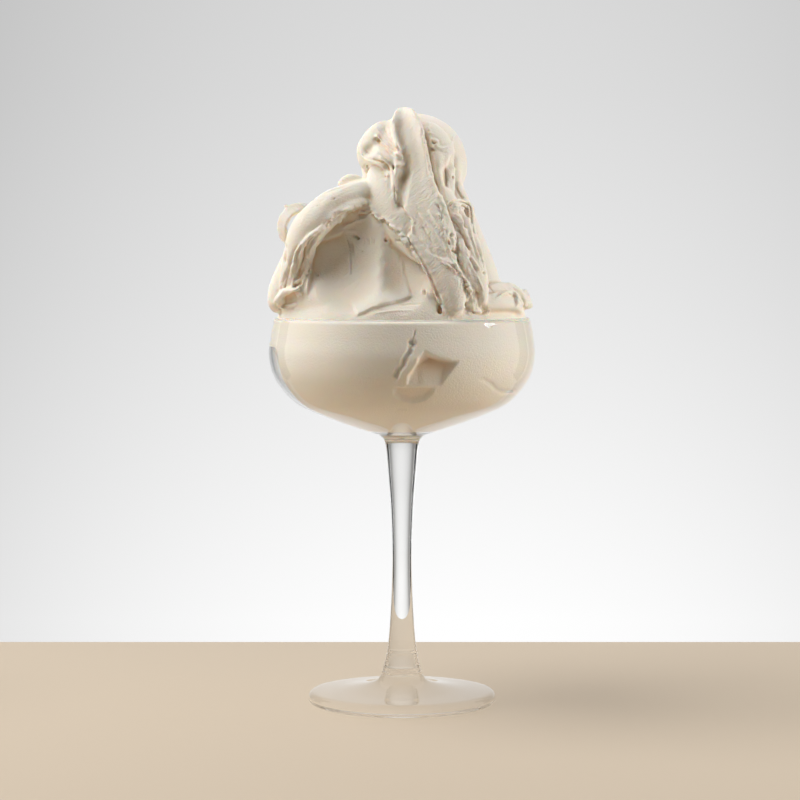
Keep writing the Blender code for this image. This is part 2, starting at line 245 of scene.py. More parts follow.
def coreForms(bm):
    front = (0, -1, 0)
    sweep(bm, [(0, 0, 100), (0, 0, 130), (0, 0, 150)], [53, 54, 50], [53, 54, 50], front, blunt=8)
    ellipsoid(bm, (0, 0, 147), (49, 48, 30))
    sweep(
        bm, [(1, 1, 138), (1.5, 1, 165), (2.5, 0.5, 190), (4, 0.5, 214)],
        [41, 37.5, 27.5, 19], [40, 36, 26, 16], front,
    )
    ellipsoid(bm, (4.8, 1, 211), (20.6, 17, 19.8))
    ellipsoid(bm, (-9.5, -1, 161), (38.5, 40, 45))
    ellipsoid(bm, (9, -8, 158), (24, 35, 42))


# Forms that stand proud of the core: whether their knots (x, z, y) are as seen from the front or
# (x, y, z) as placed, the knots, half widths, half depths and the way they face, then how far their
# edges are raised and how blunt their ends are where that differs from the usual
proudForms = [
    # the smooth band of the hood
    (seen, [(-46, 155, -13), (-43.4, 165, -20), (-40.6, 176, -25), (-37.4, 185, -27), (-30.6, 192, -27),
      (-22.6, 197.2, -24.5), (-11, 200, -16), (-3, 200, -10)], [5, 6, 6.8, 7.2, 7.4, 7.2, 6.4, 5],
      [5, 5.4, 5.6, 5.8, 5.8, 5.8, 5.4, 4], (-0.7, -0.9, 0.95)),
    # the bulge under the head
    (seen, [(-8.5, 214, -13), (-7.6, 203, -20), (-4.6, 193.5, -26), (0.5, 184, -31.5), (7, 173, -37)],
      [6.8, 7.6, 7.6, 6, 3.4], [5.2, 5.2, 5.2, 4.6, 3.6], (-0.65, -0.9, 0.35)),
    # the long stroke from the peak down to the rim, cupped above and round below
    (seen, [(0.8, 231.9, -2), (0.6, 229.8, -6), (1.6, 226.3, -10), (3.3, 220.4, -14.5), (4.3, 214.6, -18),
      (4.3, 208.8, -20.5), (5, 202.9, -23.5), (7, 197.1, -27), (9.4, 191.3, -30.5), (12.1, 183.5, -34.5),
      (13.7, 175.7, -37.6), (16.8, 167.9, -40.2), (19.5, 160.1, -41.8), (20.3, 152.4, -42.6)],
      [1.6, 3.4, 5, 5.4, 5.6, 6.6, 7.2, 8, 8.2, 8.2, 7.6, 6.6, 6.2, 6], [3, 3.6] + [4] * 12,
      (-0.1, -1, 0.25),
      {"cup": [2, 4, 5.6, 5.8, 5.6, 5.2, 4.6, 3.8, 3, 1.6, 0.6, -0.4, -0.8, -1], "blunt": 4}),
    # the head's left wing: a lobe, and three panels that fan out from their tip
    (seen, [(-4, 226.5, -5), (-8.4, 221.5, -8.5), (-12, 215.5, -10.5), (-14.2, 208.5, -10)],
      [5.2, 6.4, 6.4, 4.4], [4.5, 5, 5, 3.5], (-0.55, -1, 0.35)),
    (seen, [(-4.4, 228.4, -7.5), (-3.6, 221.5, -14), (-2, 216, -19), (0.4, 212.4, -22.6)],
      [1.7, 1.9, 1.7, 0.9], [2.4, 2.4, 2, 1.2], (-0.4, -1, 0.3)),
    (seen, [(-8.8, 224.6, -7.5), (-6.4, 220, -13), (-3, 216, -18.5), (0, 213, -22.4)],
      [3.2, 3.4, 2.6, 1.1], [2.6, 2.6, 2.2, 1.3], (-0.5, -1, 0.4), {"cup": 0.6}),
    (seen, [(-15.2, 213.4, -9), (-10.4, 214.4, -16), (-5, 213, -21), (1.2, 211, -24.2)],
      [4.6, 4.6, 3.2, 1.2], [2.8, 2.8, 2.2, 1.3], (-0.4, -1, 0.3), {"cup": -0.8}),
    # folds on the head's right side
    (seen, [(9, 227, -10), (14, 217, -15), (14.5, 206, -18.5), (18, 196, -22)], [5.5, 6.5, 6, 5],
      [4, 4.5, 4.5, 4], (0.4, -1, 0.1)),
    # the torn ridge beside the long stroke, and the smooth flank behind it
    (seen, [(15, 203, -21), (19.5, 190, -27), (24, 177, -32), (27.5, 166, -36), (29, 153, -37.5)],
      [4.5, 5.5, 6, 6.5, 6.5], [5, 6, 6, 6, 6], (0.35, -1, 0.2)),
    (seen, [(20.5, 205, -5), (23, 190, -9), (28, 174, -14), (34.5, 160, -18)], [4.5, 6.5, 8.5, 10.5],
      [4, 5.5, 6.5, 7], (1, -0.7, 0.35)),
    # the frill over the right of the rim: three folded edges
    (seen, [(31, 161, -30), (38, 161.5, -20), (44.5, 160.4, -12), (48.6, 156, -6)], [3.2, 3.4, 3.2, 2.8],
      [3, 2.8, 2.4, 2.2], (0.6, -0.6, 0.6), {"cup": 1.4}),
    (seen, [(29, 156, -38), (37, 157.5, -29), (43.4, 157, -21), (46.6, 153.6, -15)], [3.4, 3.8, 3.6, 3],
      [3, 3, 2.6, 2.4], (0.4, -1, 0.5), {"cup": 1.2}),
    (placed, [(44, -8, 158.5), (47.5, 2, 158), (45.5, 12, 157), (40, 22, 155)], [3.6, 4.4, 4.2, 3.2],
      [2.6, 2.8, 2.6, 2.4], (1, 0.1, 0.6), {"cup": 1.4}),
    # the flake behind the hood, the lobe and the curl over the rim below it, the small curl on the hood
    (seen, [(-45.2, 179.6, 0), (-46.1, 183.6, 0), (-46.2, 187.4, 0), (-45, 190.4, 0), (-42.4, 192.8, 1),
      (-38.6, 194.2, 3), (-34, 194.6, 6)], [1.6, 2.4, 2.6, 2.8, 2.8, 2.6, 2],
      [1, 1.2, 1.2, 1.3, 1.3, 1.3, 1.2], (-0.75, -1, 0.25), {"cup": 1}),
    (seen, [(-43.2, 179, -3), (-45.4, 170, -5), (-47.5, 162, -7.5), (-48.2, 156.6, -9),
      (-47.4, 153.2, -10)], [3, 3.8, 4.3, 4.2, 3.2], [3.4, 4.2, 5, 5, 4], (-0.7, -1, 0.2)),
    (seen, [(-47.6, 155.6, -17), (-46.6, 159.2, -20), (-42.8, 161.4, -25), (-38.6, 162, -29)],
      [1.8, 2, 2, 1.8], [2.4, 2.6, 2.6, 2.4], (-0.5, -1, 0.5)),
    (seen, [(-25, 203, -4), (-20.5, 205.2, -5), (-15.5, 205, -6)], [1.6, 2, 1.8], [2, 2.4, 2], (0, -1, 0)),
    # broad strokes behind, drawn up to the peak and across
    (placed, [(-24, 27, 158), (-15, 30, 176), (-4, 26, 194), (3, 17, 212), (4, 5, 228)],
      [12, 14, 13, 12, 7], [6, 7, 7, 6, 4], (-0.15, 1, 0.3), {"cup": 3}),
    (placed, [(30, 25, 156), (24, 28, 172), (19, 22, 190), (16, 14, 206), (13, 6, 220)], [9, 10, 9, 8, 5],
      [6, 6, 6, 5, 4], (0.55, 1, 0.25), {"cup": 2}),
    (placed, [(-44, 12, 158), (-33, 24, 168), (-14, 33, 172), (8, 36, 162)], [7, 9, 9, 6], [5, 6, 6, 4],
      (-0.3, 1, 0.5), {"cup": 2}),
]


def addProudForms(bm):
    for reading, knots, widths, depths, face, *rare in proudForms:
        settings = rare[0] if rare else {}
        sweep(bm, [reading(*knot) for knot in knots], widths, depths, face, **settings)


# The spatula: strokes are drawn on the surface as seen from the front, or round the back

# what the values of a row mean: rag is how ragged a stroke is and ends the share that tapers off
strokeNames = ("path", "width", "height", "rag", "ends")
ribbonNames = ("path", "width", "thick", "proud")
bandNames = ("path", "reach", "across", "along", "height")


def named(names, rows, **same):
    # rows of plain values as settings by name, where a last dictionary adds the rarer ones
    made = []
    for row in rows:
        rare = row[-1] if isinstance(row[-1], dict) else {}
        made.append({**dict(zip(names, row)), **same, **rare})
    return made


def nearPath(u, v, path):
    # signed distance from a path, positive on its left, and the length along it
    line = smoothCurve(path, 6 * len(path))
    start, step = line[:-1], np.diff(line, axis=0)
    lengths = np.linalg.norm(step, axis=1)
    before = np.concatenate([[0], np.cumsum(lengths)])
    best = np.full(len(u), np.inf)
    signed = np.zeros(len(u))
    along = np.zeros(len(u))
    for i, (origin, move) in enumerate(zip(start, step)):
        du, dv = u - origin[0], v - origin[1]
        t = np.clip((du * move[0] + dv * move[1]) / (move @ move), 0, 1)
        off = np.hypot(du - t * move[0], dv - t * move[1])
        closer = off < best
        best[closer] = off[closer]
        signed[closer] = (np.sign(move[0] * dv - move[1] * du) * off)[closer]
        along[closer] = (before[i] + t * lengths[i])[closer]
    return signed, along, before[-1]


def planeNoise(a, b, seed):
    # smooth random values from -1 to 1 over a plane
    table = np.random.default_rng(seed).uniform(-1, 1, (64, 64))
    i, j = np.floor(a).astype(int), np.floor(b).astype(int)
    s, t = a - i, b - j
    s, t = s * s * (3 - 2 * s), t * t * (3 - 2 * t)
    low = table[i % 64, j % 64] * (1 - s) + table[(i + 1) % 64, j % 64] * s
    high = table[i % 64, (j + 1) % 64] * (1 - s) + table[(i + 1) % 64, (j + 1) % 64] * s
    return low * (1 - t) + high * t


def reached(u, v, path, width):
    # the points within a stroke's bounds
    low, high = np.min(path, 0) - width, np.max(path, 0) + width
    return np.nonzero((u > low[0]) & (u < high[0]) & (v > low[1]) & (v < high[1]))[0]


def endTaper(along, length, share):
    taper = np.clip(np.minimum(along, length - along) / max(share * length, 0.1), 0, 1)
    return taper * taper * (3 - 2 * taper)


def strokeLift(u, v, stroke, seed):
    # lift along the surface and shift across the path, for the points that a stroke reaches
    path, width = stroke["path"], stroke["width"]
    near = reached(u, v, path, width * 1.6)
    if not len(near):
        return near, None, None
    signed, along, length = nearPath(u[near], v[near], path)
    rag = stroke["rag"]
    still = np.zeros(len(near))
    signed = signed + rag * width * 0.7 * planeNoise(along / 1.5, still, seed)
    height = stroke["height"] * (1 + rag * planeNoise(along / 2.4, still, seed + 1))
    taper = endTaper(along, length, stroke["ends"])
    across = signed / width
    shift = np.zeros(len(near))
    if stroke.get("kind") == "fold":
        # stands up on the left of its path and drops away at once on the right, where it may sink
        edge = np.clip(signed / 0.4 + 0.5, 0, 1)
        sunk = stroke.get("sink", 0.8) * np.clip(1 + signed / stroke.get("drop", width), 0, 1) ** 1.7
        shape = edge * np.clip(1 - across, 0, 1) ** 1.7 - (1 - edge) * sunk
        shift = -edge * np.clip(1 - across * 2, 0, 1) ** 2 * stroke.get("lean", 0.0)
    else:
        shape = np.clip(1 - across**2, 0, 1) ** 2
    return near, shape * height * taper, shift * taper


def drawStrokes(points, normals, strokes, view, seed):
    # view gives u, v, the mask, and the directions that u and v take
    u, v, mask, sideways = view
    lift = np.zeros(len(points))
    slide = np.zeros((len(points), 3))
    chosen = np.nonzero(mask)[0]
    uMasked, vMasked = u[chosen], v[chosen]
    for number, stroke in enumerate(strokes):
        near, rise, shift = strokeLift(uMasked, vMasked, stroke, seed + 7 * number)
        if not len(near):
            continue
        lift[chosen[near]] += rise
        if stroke.get("lean"):
            path = np.asarray(stroke["path"], float)
            way = path[-1] - path[0]
            way /= np.linalg.norm(way)
            leftward = sideways[0] * -way[1] + sideways[1] * way[0]
            slide[chosen[near]] += shift[:, None] * leftward
    points += normals * lift[:, None] + slide


def tearBands(points, normals, bands, view, seed):
    # ragged ridges and gashes that run along a band
    u, v, mask, sideways = view
    chosen = np.nonzero(mask)[0]
    for number, band in enumerate(bands):
        reach, here = band["reach"], seed + 11 * number
        near = chosen[reached(u[chosen], v[chosen], band["path"], reach)]
        signed, along, length = nearPath(u[near], v[near], band["path"])
        inside = np.clip(1 - (signed / reach) ** 2, 0, 1)
        inside = inside * (2 - inside) * endTaper(along, length, 0.1)
        down, across = along / band["along"], signed / band["across"]
        across = across + 0.9 * planeNoise(along / 2.3, signed / 2.3, here)
        ridges = 1 - 2 * np.abs(planeNoise(down, across, here + 1))
        fine = 1 - 2 * np.abs(planeNoise(down * 2.3, across * 1.9, here + 2))
        patches = 0.65 + 0.6 * planeNoise(along / 5, signed / 2.5, here + 3)
        rise = band["height"] * inside * patches * (0.65 * ridges + 0.35 * fine - 0.15)
        points[near] += normals[near] * rise[:, None]


def frontView(points, normals):
    over = points[:, 2] > 150
    mask = (normals[:, 1] < 0.15) & (points[:, 1] < 3) & over
    scale = eye["distance"] / (eye["distance"] + points[:, 1])
    u = points[:, 0] * scale
    v = eye["height"] + (points[:, 2] - eye["height"]) * scale
    return u, v, mask, (np.array([1.0, 0, 0]), np.array([0, 0, 1.0]))


roundReach = 34.0  # the heap's usual radius, which turns an angle into a length


def roundView(points, normals):
    over = points[:, 2] > 150
    mask = ((normals[:, 1] > 0.05) | (points[:, 1] > 2)) & over
    angle = np.arctan2(points[:, 1], points[:, 0])
    angle[angle < -math.pi / 2] += math.tau
    return angle * roundReach, points[:, 2], mask, (np.array([0.0, 0, 0]), np.array([0, 0, 1.0]))


# Strokes of the front, in millimetres, with their paths in the axis plane. The hood is the band that
# curves over the concave face on the left, the bulge lies between it and the long stroke, and the
# wing is the head's left side.
broadStrokes = named(strokeNames, [
    # trough of the long stroke's upper left, soft
    ([(-1.6, 229.8), (-0.8, 224.3), (0.8, 218.5), (2, 212.7), (1.6, 206.8), (0.8, 201)], 2.8, -1.5, 0.15,
      0.25),
    # wing: dish in its left lobe, and the shade under its second lip
    ([(-14, 219.3), (-12.9, 216.5), (-11.3, 213.8)], 3.6, -1.3, 0.15, 0.45),
    ([(-14.8, 211.5), (-10.9, 209.9), (-7, 207.6), (-5.1, 204.5)], 3, -1.2, 0.15, 0.3),
    # hollow under the wing's tip
    ([(1.2, 210.3), (0.8, 206.4), (0, 201.8), (-0.8, 195.9), (0, 191.6)], 3, -2.2, 0.15, 0.25),
    ([(-0.8, 208.8), (-1.6, 204.9), (-2, 198.6)], 1.4, -1.2, 0.15, 0.25),
    # soft valley of the hood band and the roll below it
    ([(-12.1, 199), (-19.5, 197.5), (-25, 195.1), (-29.7, 191.6)], 2.8, -0.9, 0.15, 0.3),
    ([(-12.1, 197.5), (-17.9, 196.3), (-23, 194.4), (-27.3, 191.6)], 1.6, 0.8, 0.15, 0.3),
    # scoop boundary on the left of the face
    ([(-20.7, 185.8), (-25.4, 183.5), (-30, 181.9), (-32.8, 179.6), (-34.3, 175.7), (-35.1, 170.6),
      (-35.9, 165.2), (-37.5, 158.6)], 6, -1.2, 0.1, 0.15, {"kind": "fold", "sink": 0.5}),
    # groove between the hood and the outer left
    ([(-39.8, 180), (-42.5, 174.5), (-43.7, 169.1), (-44.5, 163.6)], 1.5, -1, 0.15, 0.2),
    # right: hollow beside the lower stroke
    ([(27.7, 163.6), (29.3, 160.1), (30.4, 155.9), (30.4, 152)], 3.2, -1.8, 0.15, 0.3),
    # valley between the long stroke and the head's right folds
    ([(8.6, 225.1), (10.1, 218.5), (10.9, 212.7), (11.7, 208), (13.7, 202.5), (16, 197.9)], 1.9, -1.5,
      0.15, 0.15),
    ([(20.7, 215.8), (19.5, 211.9), (17.2, 208.4), (17.2, 204.9), (18.3, 201)], 2.2, -1.5, 0.15, 0.25),
    # lobes of the head's right side
    ([(15.2, 216.5), (14, 211.9), (14, 206.8), (15.6, 201), (17.6, 197.1)], 2.6, 1, 0.15, 0.2),
    ([(22.2, 213.4), (21.5, 208.8), (21.5, 204.1), (23, 198.6)], 2.2, 0.9, 0.15, 0.3),
    # pale ridge amid the torn part
    ([(22.2, 183.1), (23.8, 177.6), (25.4, 172.2), (26.5, 166.7)], 2, 1.3, 0.15, 0.3),
])
foldStrokes = named(strokeNames, [
    # hood: inner ridge over the torn groove
    ([(-31.2, 186.6), (-30, 188.3), (-27.7, 190.6), (-25.4, 192.2), (-21.1, 193.8), (-17.2, 195.4),
      (-12.1, 196.5)], 1.8, 1.1, 0.25, 0.06, {"lean": 0.4}),
    ([(-12.5, 191.6), (-17.9, 189.3), (-21.1, 187.8), (-24.2, 185.8)], 1.5, 1.1, 0.4, 0.2),
    # ragged ledge at the foot of the hood's strands
    ([(-43.2, 162.7), (-41.6, 165), (-39.6, 166.6), (-37.2, 169.5), (-36.7, 174.1)], 1.6, 1.7, 0.5, 0.1),
    ([(-39, 162.5), (-37.8, 166.4), (-35.9, 172.2)], 1.3, 1.2, 0.4, 0.15),
    # face: spike, its torn top
    ([(-22.6, 184.3), (-19.5, 184.6), (-17.2, 184.3)], 0.9, 0.9, 0.5, 0.2),
    # edge of the second scoop, right of the face
    ([(-5.1, 183.1), (-4.7, 178.8), (-2.3, 176.9), (0, 173), (1.2, 167.5), (2.7, 162.1), (3.9, 159.4)],
      2.2, -0.5, 0.12, 0.12, {"sink": 0.4, "drop": 1.5}),
    # bottom lip of the face
    ([(-17.9, 152), (-11.9, 154.8), (-7.2, 156.4), (-3.5, 157.4), (0, 158.3), (4.3, 159.7)], 8, 0.9, 0.03,
      0.06, {"lean": 0.3, "sink": 0.6, "drop": 3}),
    # ragged bottom of the bulge
    ([(-12.1, 192.4), (-9.4, 190.1), (-5.9, 188.5), (-3.9, 187), (-1.8, 185.3), (1.4, 182.5), (3.9, 179.3),
      (5.1, 176.1)], 1.9, 1.6, 0.55, 0.08, {"lean": 0.5}),
    # deep edge left of the lower long stroke
    ([(2, 184.3), (4.7, 179.6), (7, 174.9), (9.1, 171.3), (10.7, 168), (12.7, 163.6), (13.5, 160.8),
      (14.7, 158.4), (15.6, 155.5), (15.2, 152)], 2.8, 2.3, 0.12, 0.06, {"lean": 0.9}),
    # its torn lower right edge
    ([(16, 173.8), (19.1, 172.2), (21.6, 170.4), (22.6, 168.7), (24, 166)], 1.7, 1.5, 0.5, 0.15,
      {"lean": 0.4}),
    ([(27.7, 155.5), (26.2, 157.2), (26, 159.2), (26.6, 162.5), (25.6, 164.4), (23.4, 166.7)], 1.5, 1.5,
      0.5, 0.1),
    # gouge
    ([(9.8, 178.2), (12.5, 175.7), (15.5, 174.2), (17.8, 174.8)], 1.5, -1.2, 0.25, 0.12),
    # wing's folds, fanning from the tip
    ([(-4.5, 228.8), (-4.1, 224.7), (-2.6, 219.3), (-0.8, 215)], 1.4, 1.3, 0.1, 0.08),
    ([(-4.8, 222.6), (-3.3, 219.5), (-2, 216.9)], 0.9, 1, 0.1, 0.2),
    ([(-10.9, 221.4), (-9.2, 220.6), (-6.8, 218.5), (-4, 216), (-1.9, 214), (0, 212.8)], 1.9, 1.9, 0.12,
      0.05),
    ([(-2.3, 209.8), (-0.4, 210.3), (1.3, 210.9)], 1.6, 1.9, 0.2, 0.15),
    # wing's lips
    ([(-2.5, 195.9), (-2.9, 201), (-3.1, 204.5), (-3.6, 207), (-4.3, 209.1), (-5.4, 211.2), (-7.1, 213),
      (-9.1, 214.7)], 1.3, 1.5, 0.1, 0.08),
    ([(-16.6, 215.8), (-13.8, 213), (-10.7, 211.9), (-8.2, 210.9), (-6.4, 209.1), (-5.4, 207),
      (-6.1, 205.3)], 1.6, 1.7, 0.12, 0.06, {"lean": 0.5}),
    # head: edge of the arch over the right folds, comma and curl
    ([(21, 223.5), (19.9, 222), (18.5, 218.6), (15.6, 217.5), (13.3, 218.2), (10.9, 218.1)], 1.6, 0.8,
      0.12, 0.15),
    ([(10.5, 226.7), (9.8, 224.7), (10.5, 222.8), (12.1, 222)], 1, 1.2, 0.1, 0.2),
    ([(14.4, 218.1), (14, 220), (12.5, 220.8), (11.1, 221.6)], 1, 1.2, 0.3, 0.2),
    # flake on the head's right fold
    ([(18.3, 204.5), (19.3, 206.2), (20.5, 205.8)], 0.9, 1, 0.3, 0.2),
    # rolled edge of the pale plane before the frill
    ([(44.6, 155.5), (45, 158.4), (44.2, 161.2), (41.8, 161.7), (38.2, 160.3), (35.9, 159)], 1.3, 1.1,
      0.15, 0.1),
    # frill: parallel folded edges
    ([(49.9, 159), (48.4, 161.7), (46, 164)], 0.8, 0.5, 0.3, 0.15),
    ([(48, 158.6), (46, 162.1), (43.7, 164.4)], 0.8, 0.5, 0.3, 0.15),
    ([(46.8, 157), (48.4, 155.9), (49.2, 153.5)], 0.8, 0.8, 0.3, 0.15),
    # curl at the left of the rim
    ([(-49.2, 155.9), (-48.8, 157.9), (-47.5, 159.8), (-45.5, 161.4), (-42.8, 161.9), (-40.6, 161.9),
      (-39.4, 163.6)], 1.5, 1.5, 0.1, 0.06, {"lean": 0.5}),
    ([(-45.1, 156.4), (-47.2, 155.7), (-49.4, 154.8)], 1, 1, 0.15, 0.15),
    ([(-40.2, 153.1), (-42.8, 153.6), (-46, 154.1), (-49, 154.3)], 0.9, 0.8, 0.1, 0.15),
], kind="fold")
